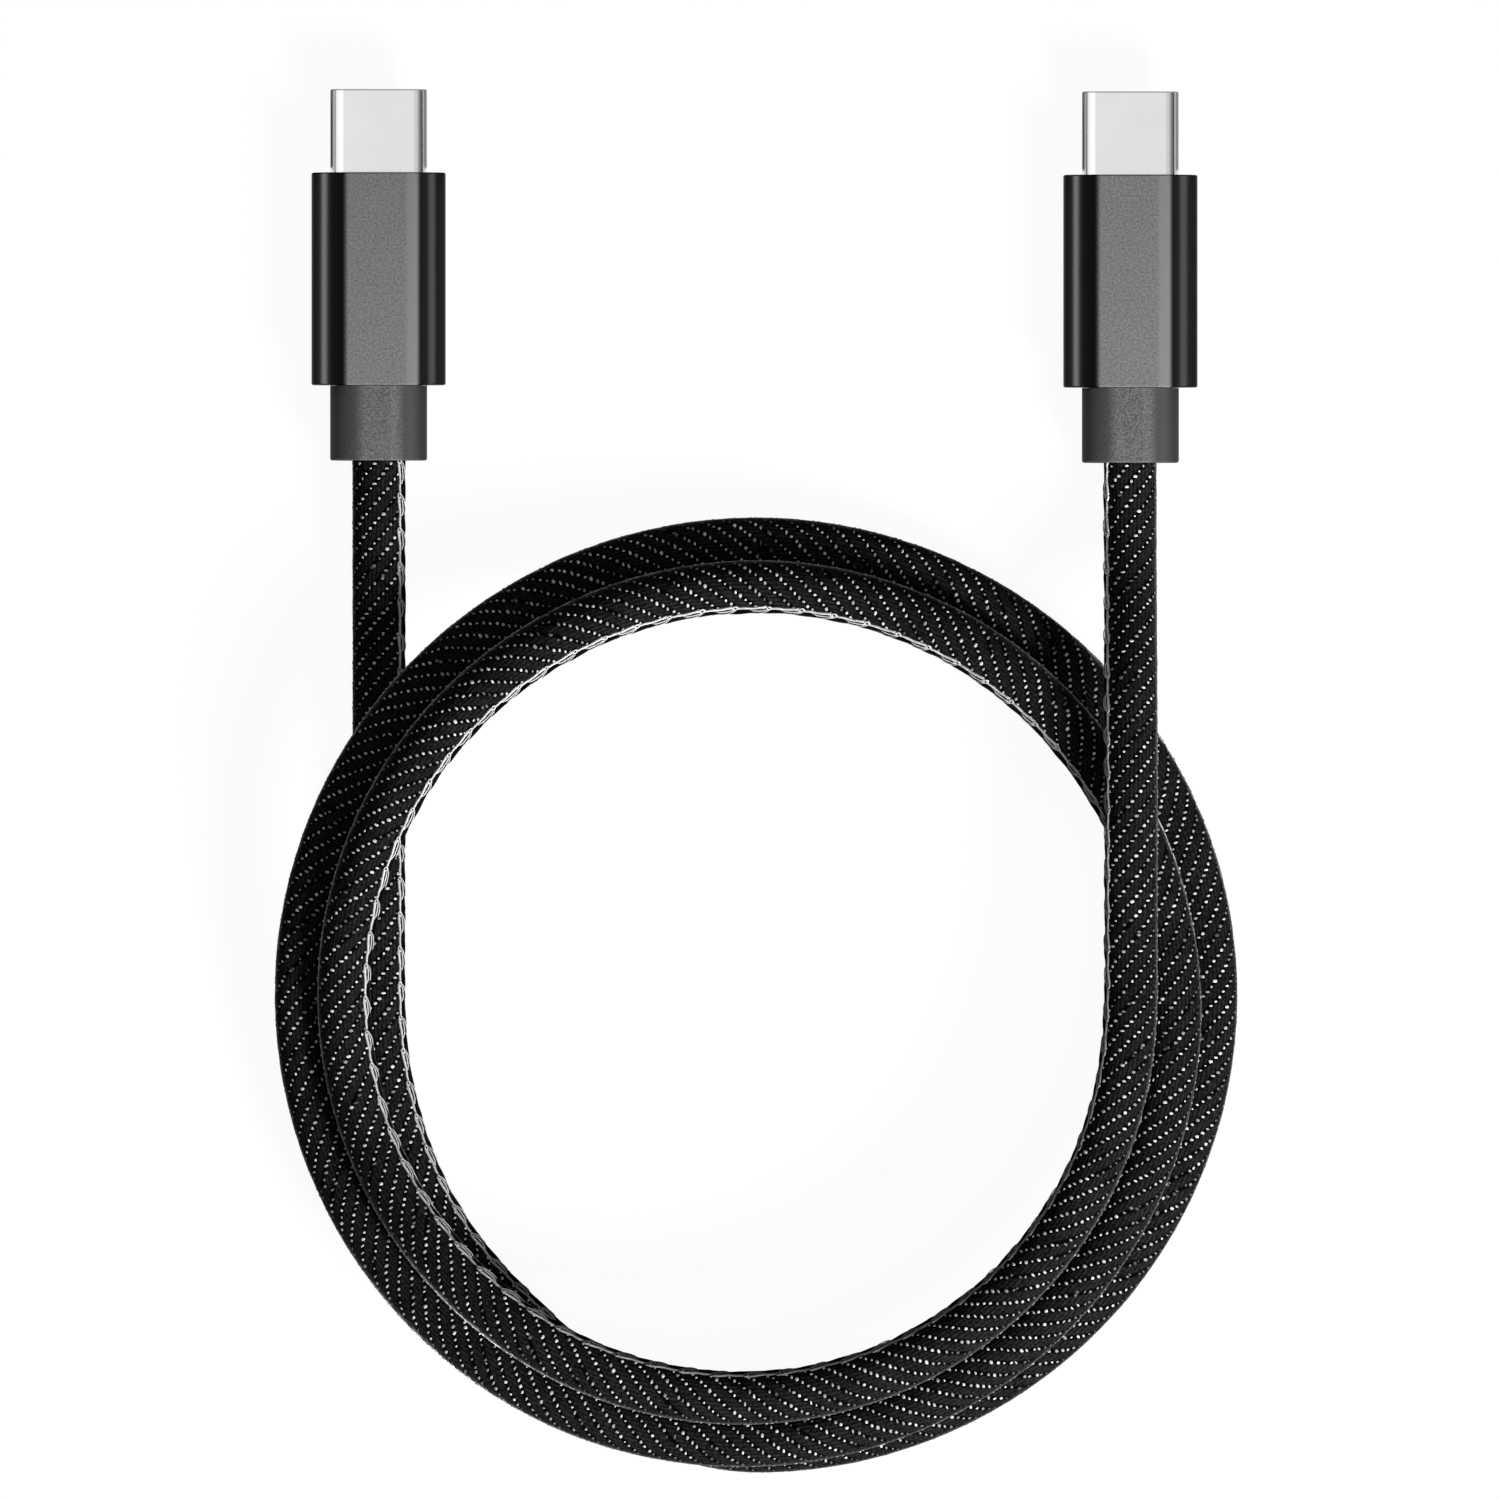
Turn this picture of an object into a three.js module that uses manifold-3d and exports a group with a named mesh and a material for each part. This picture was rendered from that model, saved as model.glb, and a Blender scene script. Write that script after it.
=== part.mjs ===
// A charging cable: two metal plugs on one fabric-wrapped cord, which lies in a loose coil.
// Lengths are millimetres. X runs from the left plug to the right one, Y towards the plug tips
// and Z up. The origin is on the table, in the middle of the box around the two plugs.
import * as THREE from 'three';
import { mergeVertices } from 'three/addons/utils/BufferGeometryUtils.js';
import Module from 'manifold-3d';

const wasm = await Module();
wasm.setup();

// ---- Where the plugs lie ----
const plugSpacing = 64.4; // between the axes of the two plugs
const rightPlugDrop = 0.2; // how much nearer to the coil the right plug lies
const fit = 0.05; // clearance round a piece that sits in another one
const seatGap = 0.2; // between two pieces inside a plug that face each other end to end
const endGap = 0.3; // between two pieces of the cord that meet end to end

// ---- Plug: the steel shell and what is in its mouth ----
const shellWidth = 8.25;
const shellHeight = 2.4;
const shellWall = 0.2;
const shellExposed = 7.15; // from the housing's front face to the tip
const shellSeated = 3.65; // the length held inside the housing
const shellShoulder = 0.05; // step down from the exposed part to the seated one
const shellEdge = 0.15; // rounding of the shell's front rim
const blockSetback = 0.4; // from the shell's tip back to the contact block
const blockLength = 6.6;
const slotHeight = 1.1; // the slot that takes the socket's tongue
const grooveHeight = 0.5; // side grooves of the slot, in which the latch arms lie
const grooveDepth = 0.3;
const grooveWall = 0.155; // between a groove and the block's side
const contactCount = 12;
const contactPitch = 0.5;
const contactWidth = 0.25;
const contactThickness = 0.1;
const contactTail = 1.3; // how far the contacts reach back over the board
const contactReach = 5.4; // how far they reach forward from their carrier
const contactBend = 0.6; // length of each half of a contact's bent front end
const contactDip = 0.07; // how far the bend stands into the slot
const carrierLength = 3.0;
const latchThickness = 0.2;
const latchArmWidth = 0.2;
const latchReach = 5.0; // arm length in front of the carriers
const latchHook = 0.3; // how far an arm's hook stands in
const latchHookLength = 0.9;
const latchLead = 0.4; // the sloped part of the hook, at the arm's end
const springInset = 1.375; // from the block's side to the ground spring
const springLength = 1.6;
const springThickness = 0.1;
const springSetback = 2.1; // from the block's front to the ground spring

// ---- Plug: board, shield, mould, housing and collar ----
const boardInset = 0.525; // from the shield's side to the board
const boardThickness = 0.6;
const shieldWall = 0.15;
const shieldSplit = 0.1; // between the upper and the lower shield
const housingWidth = 11.5;
const housingHeight = 6.0;
const housingLength = 18.2;
const housingCorner = 2.65; // radius of its long edges
const housingWall = 0.6;
const housingEdge = 0.15; // rounding of its two ends
const housingEndWall = 0.8; // the wall round the collar's neck
const noseDepth = 0.9;
const noseSetback = 0.15; // from the housing's front face back to the nose ring
const collarWidth = 8.3;
const collarHeight = 5.4;
const collarLength = 6.45;
const collarCorner = 2.3;
const collarEdge = 0.2; // rounding where the cord leaves
const neckInsetSide = 1.6; // how far the collar's neck stays inside the housing's cavity, sideways
const neckInsetTop = 0.25; // and in height
const flangeDepth = 1.5;
const sleeveInCollar = 5.7; // how far the fabric reaches into the collar
const crimpLength = 3.8;
const crimpWall = 0.2;
const crimpSetback = 0.7; // from the collar's flange to the crimp ring
const jacketPastCrimp = 0.3;

// ---- Cord ----
const cordDiameter = 4.54; // over the fabric
const jacketDiameter = 3.4;
const jacketWall = 0.3;
const sleeveLooseness = 0.08; // between the fabric sleeve and the jacket
const thickWire = 0.8; // diameter of the power and ground wires
const thinWire = 0.56; // diameter of the others
const wireFan = 1.8; // length over which the wires spread out from the jacket's end to the board
const wireOnBoard = 1.5; // length of each wire's end that lies on the board
const wireAboveBoard = 0.3; // how far before the board a wire has reached its pad's height

// Each wire: name, diameter, colour, and where it ends on the board (sideways, upper or lower face).
// They lie round the bundle in this order, from its top.
const wires = [
  { name: 'data_wire_plus', diameter: thinWire, colour: 0x2f8a3c, pad: 0, face: 1 },
  { name: 'power_wire', diameter: thickWire, colour: 0xb02020, pad: 2.3, face: 1 },
  { name: 'data_wire_minus', diameter: thinWire, colour: 0xe8e6e0, pad: 1.3, face: -1 },
  { name: 'ground_wire', diameter: thickWire, colour: 0x161616, pad: -1.5, face: -1 },
  { name: 'configuration_wire', diameter: thinWire, colour: 0x2b50a8, pad: -2.3, face: 1 },
];

// The parts on the board: width, length and height, and how far sideways each one sits.
const boardParts = [
  { name: 'marker_chip', size: [1.8, 1.2, 0.5], x: 0.9, colour: 0x1b1b1c },
  { name: 'capacitor', size: [0.6, 1.0, 0.5], x: -0.9, colour: 0xa08662 },
  { name: 'resistor', size: [0.5, 1.0, 0.35], x: -2.2, colour: 0x232324 },
];

// ---- Coil: the turns are counted clockwise from the strand under the right plug ----
const ringX = 0.15; // centre of the coil
const ringY = -61.6;
const turns = 2.5;
const stepsPerTurn = 24;
const outerRadius = 39.0; // of the outer turn's centreline
const turnStep = 3.7; // from the middle turn out to the outer one
const bendInRadius = 34.8; // where the last turn has passed under the other two
const squash = 0.3; // how much flatter the ring is from top to bottom
const turnGap = 0.5; // clear space between two strands that rest on each other
const leanSpacing = 3.6; // sideways spacing at which a strand leans on the turn outside it
const startLift = 0.12; // how much the first strand is held up, as a share of the strand spacing

// Where along the coil something changes, in turns.
const settledAt = 0.5; // the first turn has widened to the middle turn's radius
const widenFrom = 0.88; // from here to widenTo the cord steps out to the outer turn
const widenTo = 1.38;
const underFrom = 2.25; // from here to underTo the last turn passes under the other two
const underTo = 2.36;
const inwardFrom = 2.3; // from here to its end it runs in towards the left plug's line
const liftUntil = 0.16; // the first strand is held up until here
const climbFrom = 0.7; // up to here a strand leans on the next turn, and from climbTo it lies on it
const climbTo = 1.25;
const descendFrom = 1.31; // from here to onTableFrom the cord comes down to the table
const onTableFrom = 1.5;
const crossingRise = 1.05; // how far the second turn rises over the left plug's straight run
const crossingBefore = 0.18; // length of that rise, and of the way down again
const crossingAfter = 0.14;

// The route between each plug and the coil, as [Y, height] chosen by hand, in line with the plug.
const rightRun = [
  [-19.4, 3.02],
  [-22.6, 3.45],
  [-26.0, 4.7],
  [-29.5, 6.55],
  [-33.2, 8.6],
  [-37.0, 10.3],
  [-41.2, 11.35],
  [-45.4, 11.6],
  [-49.4, 11.4],
  [-52.6, 11.0],
];
const leftRun = [
  [-51.6, 2.27],
  [-46.6, 2.27],
  [-41.6, 2.27],
  [-36.6, 2.27],
  [-31.8, 2.3],
  [-27.2, 2.45],
  [-23.0, 2.75],
  [-19.2, 2.98],
];

// ---- Finishes ----
const finish = (color, roughness, metalness) => {
  return new THREE.MeshStandardMaterial({ color, roughness, metalness });
};
const steel = finish(0xd9dadb, 0.22, 1);
const springSteel = finish(0xb9bcc0, 0.3, 1);
const gold = finish(0xd4a94e, 0.28, 1);
const anodised = finish(0x4b4b4d, 0.42, 0.85);
const softPlastic = finish(0x3b3b3c, 0.7, 0);
const blackPlastic = finish(0x131314, 0.5, 0);
const clearMould = finish(0xc9c6bd, 0.55, 0);
const boardGreen = finish(0x1f4f36, 0.5, 0);
const fabric = finish(0x1d1d1f, 0.95, 0);
const rubber = finish(0x101011, 0.75, 0);

// ---- Values that follow from the ones above. A plug's own Y starts where the cord leaves it. ----
const cordRadius = cordDiameter / 2;
const jacketRadius = jacketDiameter / 2;
const plugLength = collarLength + housingLength + shellExposed;
const axisHeight = housingHeight / 2;
const housingRear = collarLength;
const housingFront = housingRear + housingLength;
const tip = housingFront + shellExposed;
const shellRear = housingFront - shellSeated;
const shellSeatWidth = shellWidth - 2 * shellShoulder;
const shellSeatHeight = shellHeight - 2 * shellShoulder;
const shellInnerWidth = shellWidth - 2 * shellWall;
const shellInnerHeight = shellHeight - 2 * shellWall;
const blockFront = tip - blockSetback;
const blockRear = blockFront - blockLength;
const blockWidth = shellInnerWidth - 2 * fit;
const blockHeight = shellInnerHeight - 2 * fit;
const slotWidth = blockWidth - 2 * (grooveDepth + grooveWall);
const springWidth = blockWidth - 2 * springInset;
const contactRise = boardThickness / 2 + fit + contactThickness / 2;
const carrierFront = blockRear - seatGap;
const carrierRear = carrierFront - carrierLength;
const cavityWidth = housingWidth - 2 * housingWall;
const cavityHeight = housingHeight - 2 * housingWall;
const cavityCorner = housingCorner - housingWall;
const neckWidth = cavityWidth - 2 * neckInsetSide;
const neckHeight = cavityHeight - 2 * neckInsetTop;
const flangeRear = housingRear + housingEndWall + fit;
const flangeFront = flangeRear + flangeDepth;
const crimpRear = flangeFront + crimpSetback;
const crimpFront = crimpRear + crimpLength;
const crimpInside = jacketRadius + fit;
const crimpOutside = crimpInside + crimpWall;
const jacketEnd = crimpFront + jacketPastCrimp;
const boardRear = jacketEnd + wireFan;
const boardFront = carrierRear - seatGap;
const padStart = boardRear - wireAboveBoard;
const partsMiddle = (boardRear + wireOnBoard + carrierRear - contactTail) / 2;
const noseFront = housingFront - noseSetback;
const noseRear = noseFront - noseDepth;
const mouldRear = flangeFront + seatGap;
const mouldFront = noseRear - seatGap;
const shieldFront = mouldFront - seatGap;
const shieldRear = padStart;
const shieldInnerWidth = shellSeatWidth + 2 * fit;
const shieldInnerHeight = shellSeatHeight + 2 * fit;
const boardWidth = shieldInnerWidth - 2 * boardInset;

// ---- Solids from rings of points ----

const fineSteps = 8; // arc steps on the pieces that show
const plainSteps = 4; // arc steps on hidden pieces
const endFlat = 0.02; // half of the flat that is left in the middle of a fully rounded side
const sharpCorner = 0.02; // rounding of a corner that looks sharp
const quarterRound = 1 - Math.SQRT1_2; // how far in the middle of a rounded edge lies, as a share

// Points of a rounded rectangle in the XZ plane, anticlockwise as seen from the tip's side.
function roundedRing(width, height, corner, y, steps) {
  const points = [];
  for (let quarter = 0; quarter < 4; quarter += 1) {
    const sideX = quarter === 0 || quarter === 3 ? 1 : -1;
    const sideZ = quarter < 2 ? 1 : -1;
    for (let step = 0; step <= steps; step += 1) {
      const angle = (quarter + step / steps) * Math.PI / 2;
      const x = sideX * (width / 2 - corner) + corner * Math.cos(angle);
      const z = sideZ * (height / 2 - corner) + corner * Math.sin(angle);
      points.push(new THREE.Vector3(x, y, z));
    }
  }
  return points;
}

// A ring with fully rounded sides.
const ovalRing = (width, height, y, steps) => roundedRing(width, height, height / 2 - endFlat, y, steps);

// What fills the housing's cavity, with clearance.
function cavityFill(y, steps) {
  return roundedRing(cavityWidth - 2 * fit, cavityHeight - 2 * fit, cavityCorner - fit, y, steps);
}

// Rings of an end that is rounded off by edge: from the full outline to the end face, or back.
// outline(y, inset) gives a ring, and the piece lies on the side of the end that inwards names.
function roundedEnd(outline, end, edge, inwards) {
  const profile = [[1, 0], [quarterRound, quarterRound], [0, 1]]; // distance from the end, and inset
  return profile.map(([back, inset]) => outline(end + inwards * edge * back, edge * inset));
}

// A round ring with as many points, whose flats (not its corners) lie at the stated radius.
function roundRing(radius, y, steps) {
  const count = 4 * (steps + 1);
  const corner = radius / Math.cos(Math.PI / count);
  const points = [];
  for (let index = 0; index < count; index += 1) {
    const angle = (index + 0.5) * 2 * Math.PI / count;
    points.push(new THREE.Vector3(corner * Math.cos(angle), y, corner * Math.sin(angle)));
  }
  return points;
}

// A closed skin over rings with equal numbers of points. The last ring joins the first one when the
// piece is hollow, and otherwise both ends are capped. Its faces are turned outwards at the end.
function skin(rings, hollow) {
  const sides = rings[0].length;
  const positions = rings.flat().flatMap((point) => point.toArray());
  const index = [];
  const spans = hollow ? rings.length : rings.length - 1;
  for (let ring = 0; ring < spans; ring += 1) {
    const here = ring * sides;
    const next = ((ring + 1) % rings.length) * sides;
    for (let side = 0; side < sides; side += 1) {
      const turn = (side + 1) % sides;
      index.push(here + side, next + side, next + turn);
      index.push(here + side, next + turn, here + turn);
    }
  }
  if (!hollow) {
    const last = (rings.length - 1) * sides;
    for (let side = 1; side < sides - 1; side += 1) {
      index.push(0, side, side + 1);
      index.push(last, last + side + 1, last + side);
    }
  }
  const geometry = new THREE.BufferGeometry();
  geometry.setAttribute('position', new THREE.Float32BufferAttribute(positions, 3));
  geometry.setIndex(index);
  return signedVolume(geometry) < 0 ? turnedOut(geometry) : geometry;
}

function signedVolume(geometry) {
  const position = geometry.attributes.position;
  const index = geometry.index.array;
  const [a, b, c] = [new THREE.Vector3(), new THREE.Vector3(), new THREE.Vector3()];
  let volume = 0;
  for (let face = 0; face < index.length; face += 3) {
    a.fromBufferAttribute(position, index[face]);
    b.fromBufferAttribute(position, index[face + 1]);
    c.fromBufferAttribute(position, index[face + 2]);
    volume += a.dot(b.cross(c)) / 6;
  }
  return volume;
}

function turnedOut(geometry) {
  const index = Array.from(geometry.index.array);
  for (let face = 0; face < index.length; face += 3) {
    [index[face + 1], index[face + 2]] = [index[face + 2], index[face + 1]];
  }
  geometry.setIndex(index);
  return geometry;
}

// A straight bar with the outline [[x, z], ...], from rear to front along Y.
function bar(outline, rear, front) {
  const shape = new THREE.Shape(outline.map(([x, z]) => new THREE.Vector2(x, z)));
  const geometry = new THREE.ExtrudeGeometry(shape, { depth: front - rear, bevelEnabled: false });
  geometry.rotateX(Math.PI / 2);
  geometry.translate(0, front, 0);
  return geometry;
}

// A plate with the outline [[x, y], ...], of a thickness, with its underside at the height bottom.
function plate(outline, thickness, bottom) {
  const shape = new THREE.Shape(outline.map(([x, y]) => new THREE.Vector2(x, y)));
  const geometry = new THREE.ExtrudeGeometry(shape, { depth: thickness, bevelEnabled: false });
  geometry.translate(0, 0, bottom);
  return geometry;
}

function block([width, length, height], x, rear, bottom) {
  const geometry = new THREE.BoxGeometry(width, length, height);
  geometry.translate(x, rear + length / 2, bottom + height / 2);
  return geometry;
}

// ---- Joining and cutting ----

function toSolid(geometry) {
  const bare = geometry.clone();
  bare.deleteAttribute('normal');
  bare.deleteAttribute('uv');
  const merged = mergeVertices(bare, 1e-5);
  const vertProperties = Float32Array.from(merged.attributes.position.array);
  const triVerts = Uint32Array.from(merged.index.array);
  return new wasm.Manifold(new wasm.Mesh({ numProp: 3, vertProperties, triVerts }));
}

function toGeometry(solid) {
  const mesh = solid.getMesh();
  const geometry = new THREE.BufferGeometry();
  geometry.setAttribute('position', new THREE.Float32BufferAttribute(mesh.vertProperties, 3));
  geometry.setIndex(Array.from(mesh.triVerts));
  return geometry;
}

function joined(geometries) {
  return toGeometry(geometries.map(toSolid).reduce((whole, piece) => whole.add(piece)));
}

function cutAway(body, tools) {
  return toGeometry(tools.map(toSolid).reduce((rest, tool) => rest.subtract(tool), toSolid(body)));
}

// ---- The plug's pieces, each in the plug's own frame: Y from the cord's exit, Z from its axis ----

const overrun = 1; // how far a cut runs past the piece that it cuts

function plugShell() {
  const outer = (y, inset) => ovalRing(shellWidth - 2 * inset, shellHeight - 2 * inset, y, fineSteps);
  return skin([
    outer(shellRear, shellShoulder),
    outer(housingFront + fit, shellShoulder),
    outer(housingFront + fit, 0),
    ...roundedEnd(outer, tip, shellEdge, -1),
    outer(tip, shellWall),
    outer(shellRear, shellWall),
  ], true);
}

const blockRing = (y) => ovalRing(blockWidth, blockHeight, y, plainSteps);

function contactBlock() {
  const body = skin([blockRing(blockRear), blockRing(blockFront)], false);
  const cutLength = blockLength + 2 * overrun;
  const slot = block([slotWidth, cutLength, slotHeight], 0, blockRear - overrun, -slotHeight / 2);
  const grooveSize = [slotWidth + 2 * grooveDepth, cutLength, grooveHeight];
  const grooves = block(grooveSize, 0, blockRear - overrun, -grooveHeight / 2);
  const recessRear = blockFront - springSetback - springLength - fit;
  const recessDepth = springThickness + 2 * fit;
  const recessSize = [springWidth + 2 * fit, springLength + 2 * fit, recessDepth + overrun];
  const upperRecess = block(recessSize, 0, recessRear, blockHeight / 2 - recessDepth);
  const lowerRecess = block(recessSize, 0, recessRear, -blockHeight / 2 - overrun);
  return cutAway(body, [slot, grooves, upperRecess, lowerRecess]);
}

function groundSpring() {
  const size = [springWidth, springLength, springThickness];
  const rear = blockFront - springSetback - springLength;
  return block(size, 0, rear, blockHeight / 2 - springThickness - fit);
}

// A contact's side view: straight, with a bent front end that stands into the slot.
function contactShape() {
  const front = carrierFront + contactReach;
  const line = [
    [carrierRear - contactTail, contactRise],
    [front - 2 * contactBend, contactRise],
    [front - contactBend, contactRise - contactDip],
    [front, contactRise],
  ];
  const half = contactThickness / 2;
  const upper = line.map(([y, z]) => new THREE.Vector2(y, z + half));
  const lower = line.map(([y, z]) => new THREE.Vector2(y, z - half)).reverse();
  return new THREE.Shape([...lower, ...upper]);
}

// One row of contacts, moulded into the carrier that fills its half of the shell.
function contactRow() {
  const carrierBottom = latchThickness / 2 + fit;
  const whole = skin([blockRing(carrierRear), blockRing(carrierFront)], false);
  const belowSize = [blockWidth + 2 * overrun, carrierLength + 2 * overrun, blockHeight];
  const below = block(belowSize, 0, carrierRear - overrun, carrierBottom - blockHeight);
  const pieces = [cutAway(whole, [below])];
  const alongY = new THREE.Matrix4().makeBasis(
    new THREE.Vector3(0, 1, 0),
    new THREE.Vector3(0, 0, 1),
    new THREE.Vector3(1, 0, 0),
  );
  for (let number = 0; number < contactCount; number += 1) {
    const contact = new THREE.ExtrudeGeometry(contactShape(), { depth: contactWidth, bevelEnabled: false });
    const middle = (number - (contactCount - 1) / 2) * contactPitch;
    contact.applyMatrix4(alongY);
    contact.translate(middle - contactWidth / 2, 0, 0);
    pieces.push(contact);
  }
  return joined(pieces);
}

// The steel plate between the two rows, with a sprung arm on each side that clicks into the socket.
function latchPlate() {
  const outside = slotWidth / 2 + grooveDepth - 2 * fit;
  const inside = outside - latchArmWidth;
  const end = carrierFront + latchReach;
  const half = [
    [outside, carrierRear],
    [outside, end],
    [inside, end],
    [inside - latchHook, end - latchLead],
    [inside, end - latchHookLength],
    [inside, carrierFront],
  ];
  const other = half.map(([x, y]) => [-x, y]).reverse();
  return plate([...half, ...other], latchThickness, -latchThickness / 2);
}

// Half of the sheet-metal box round the board, open at both ends, which laps over the shell.
function shield() {
  const inX = shieldInnerWidth / 2;
  const outX = inX + shieldWall;
  const inZ = shieldInnerHeight / 2;
  const outZ = inZ + shieldWall;
  const low = shieldSplit / 2;
  const outside = [[outX, low], [outX, outZ], [-outX, outZ], [-outX, low]];
  const inside = [[-inX, low], [-inX, inZ], [inX, inZ], [inX, low]];
  return bar([...outside, ...inside], shieldRear, shieldFront);
}

function crimpRing() {
  const outer = (y) => roundRing(crimpOutside, y, plainSteps);
  const inner = (y) => roundRing(crimpInside, y, plainSteps);
  return skin([outer(crimpRear), outer(crimpFront), inner(crimpFront), inner(crimpRear)], true);
}

// The mould that fills the housing: a round bore for the crimped cord and a pocket for the shields.
function innerMould() {
  const outer = (y) => cavityFill(y, plainSteps);
  const bore = (y) => roundRing(crimpOutside + fit, y, plainSteps);
  const pocketWidth = shieldInnerWidth + 2 * (shieldWall + fit);
  const pocketHeight = shieldInnerHeight + 2 * (shieldWall + fit);
  const pocket = (y) => roundedRing(pocketWidth, pocketHeight, sharpCorner, y, plainSteps);
  return skin([
    outer(mouldRear),
    outer(mouldFront),
    pocket(mouldFront),
    pocket(jacketEnd),
    bore(jacketEnd),
    bore(mouldRear),
  ], true);
}

// The ring that closes the housing's front round the shell.
function noseRing() {
  const outer = (y) => cavityFill(y, fineSteps);
  const hole = (y) => ovalRing(shellSeatWidth + 2 * fit, shellSeatHeight + 2 * fit, y, fineSteps);
  return skin([outer(noseRear), outer(noseFront), hole(noseFront), hole(noseRear)], true);
}

// The metal sleeve round the plug, with a wall at its rear that holds the collar.
function housing() {
  const outer = (y, inset) => {
    const [width, height] = [housingWidth - 2 * inset, housingHeight - 2 * inset];
    return roundedRing(width, height, housingCorner - inset, y, fineSteps);
  };
  const cavity = (y) => roundedRing(cavityWidth, cavityHeight, cavityCorner, y, fineSteps);
  const opening = (y) => ovalRing(neckWidth + 2 * fit, neckHeight + 2 * fit, y, fineSteps);
  const wallFront = housingRear + housingEndWall;
  return skin([
    ...roundedEnd(outer, housingRear, housingEdge, 1).reverse(),
    ...roundedEnd(outer, housingFront, housingEdge, -1),
    cavity(housingFront),
    cavity(wallFront),
    opening(wallFront),
    opening(housingRear),
  ], true);
}

// The strain relief: it shows behind the housing, and its neck and flange hold it there.
function collar() {
  const outer = (y, inset) => {
    const [width, height] = [collarWidth - 2 * inset, collarHeight - 2 * inset];
    return roundedRing(width, height, collarCorner - inset, y, fineSteps);
  };
  const neck = (y) => ovalRing(neckWidth, neckHeight, y, fineSteps);
  const flange = (y) => cavityFill(y, fineSteps);
  const sleeveBore = (y) => roundRing(cordRadius + 2 * fit, y, fineSteps);
  const jacketBore = (y) => roundRing(jacketRadius + fit, y, fineSteps);
  const shoulder = sleeveInCollar + endGap;
  const bodyFront = collarLength - fit;
  return skin([
    ...roundedEnd(outer, 0, collarEdge, 1).reverse(),
    outer(bodyFront, 0),
    neck(bodyFront),
    neck(flangeRear),
    flange(flangeRear),
    flange(flangeFront),
    jacketBore(flangeFront),
    jacketBore(shoulder),
    sleeveBore(shoulder),
    sleeveBore(0),
  ], true);
}

// The board's parts stand between the wires' ends and the contacts' tails.
function boardPart({ size, x }) {
  return block(size, x, partsMiddle - size[1] / 2, boardThickness / 2 + fit);
}

// ---- The cord's route, from the right plug round the coil to the left plug ----

const smooth = (from, to, at) => THREE.MathUtils.smoothstep(at, from, to);

// Rises early and settles slowly, from 0 at 0 to 1 at 1.
function settle(share) {
  const left = 1 - Math.min(Math.max(share, 0), 1);
  return 1 - left ** 4 * (1 + 4 * (1 - left));
}

// One smooth hump of height 1 at its top, with its own width before and after.
function hump(at, top, before, after) {
  const share = (at - top) / (at < top ? before : after);
  return Math.abs(share) < 1 ? (1 + Math.cos(Math.PI * share)) / 2 : 0;
}

function coilRadius(turn) {
  const start = plugSpacing / 2 - ringX;
  const end = plugSpacing / 2 + ringX;
  const middle = outerRadius - turnStep;
  const toMiddle = (middle - start) * settle(turn / settledAt);
  const toOuter = turnStep * smooth(widenFrom, widenTo, turn);
  const under = (outerRadius - bendInRadius) * smooth(underFrom, underTo, turn);
  const inward = (bendInRadius - end) * smooth(inwardFrom, turns, turn);
  const flattened = squash * (1 - Math.cos(4 * Math.PI * turn)) / 2;
  return start + toMiddle + toOuter - under - inward - flattened;
}

// Where the second turn crosses the left plug's straight run.
const crossing = onTableFrom + Math.acos((plugSpacing / 2 + ringX) / outerRadius) / (2 * Math.PI);

// Height of a strand in strand spacings above the table. Each strand rests on the next turn of the
// cord: it leans on it at first, lies across it where the last turn passes under, and then comes down.
// The second turn also goes over the left plug's straight run, and the right plug's run lifts the start.
function level(turn) {
  const overStraightRun = crossingRise * hump(turn, crossing, crossingBefore, crossingAfter);
  if (turn > onTableFrom) return overStraightRun;
  const lean = Math.sqrt(1 - (leanSpacing / (cordDiameter + turnGap)) ** 2);
  const resting = lean + (1 - lean) * smooth(climbFrom, climbTo, turn);
  const across = resting * (1 - smooth(descendFrom, onTableFrom, turn));
  return overStraightRun + across + level(turn + 1) + startLift * (1 - smooth(0, liftUntil, turn));
}

function coilPoint(turn) {
  const angle = 2 * Math.PI * turn;
  const radius = coilRadius(turn);
  const height = cordRadius + (cordDiameter + turnGap) * level(turn);
  return new THREE.Vector3(ringX + radius * Math.cos(angle), ringY - radius * Math.sin(angle), height);
}

// All stations of the route, and which of them bound the cord's three stretches.
const rightX = plugSpacing / 2;
const leftX = -plugSpacing / 2;
const rightExit = -plugLength / 2 - rightPlugDrop / 2;
const leftExit = -plugLength / 2 + rightPlugDrop / 2;
const stations = [];
const mark = {};

function addStations(points, name) {
  if (name) mark[name] = stations.length;
  stations.push(...points);
}

const inLine = (x, list) => list.map(([y, z]) => new THREE.Vector3(x, y, z));
const startHeight = coilPoint(0).z;
const endHeight = coilPoint(turns).z;
const stubTop = ringY + cordDiameter;
const stubLead = 1.5; // straight run before the coil, in front of the tails' hand-chosen points
const runEnd = stubTop + endGap + stubLead;
addStations(inLine(rightX, [[rightExit + jacketEnd, axisHeight]]), 'rightJacketEnd');
addStations(inLine(rightX, [[rightExit + sleeveInCollar, axisHeight]]), 'rightSleeveEnd');
addStations(inLine(rightX, [[rightExit, axisHeight], ...rightRun, [runEnd, startHeight]]));
addStations(inLine(rightX, [[stubTop + endGap, startHeight]]), 'rightTailEnd');
addStations(inLine(rightX, [[stubTop, startHeight]]), 'coilStart');
for (let step = 0; step <= turns * stepsPerTurn; step += 1) {
  addStations([coilPoint(step / stepsPerTurn)]);
}
addStations(inLine(leftX, [[stubTop, endHeight]]), 'coilEnd');
addStations(inLine(leftX, [[stubTop + endGap, endHeight]]), 'leftTailEnd');
addStations(inLine(leftX, [[runEnd, endHeight], ...leftRun, [leftExit, axisHeight]]));
addStations(inLine(leftX, [[leftExit + sleeveInCollar, axisHeight]]), 'leftSleeveEnd');
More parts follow.
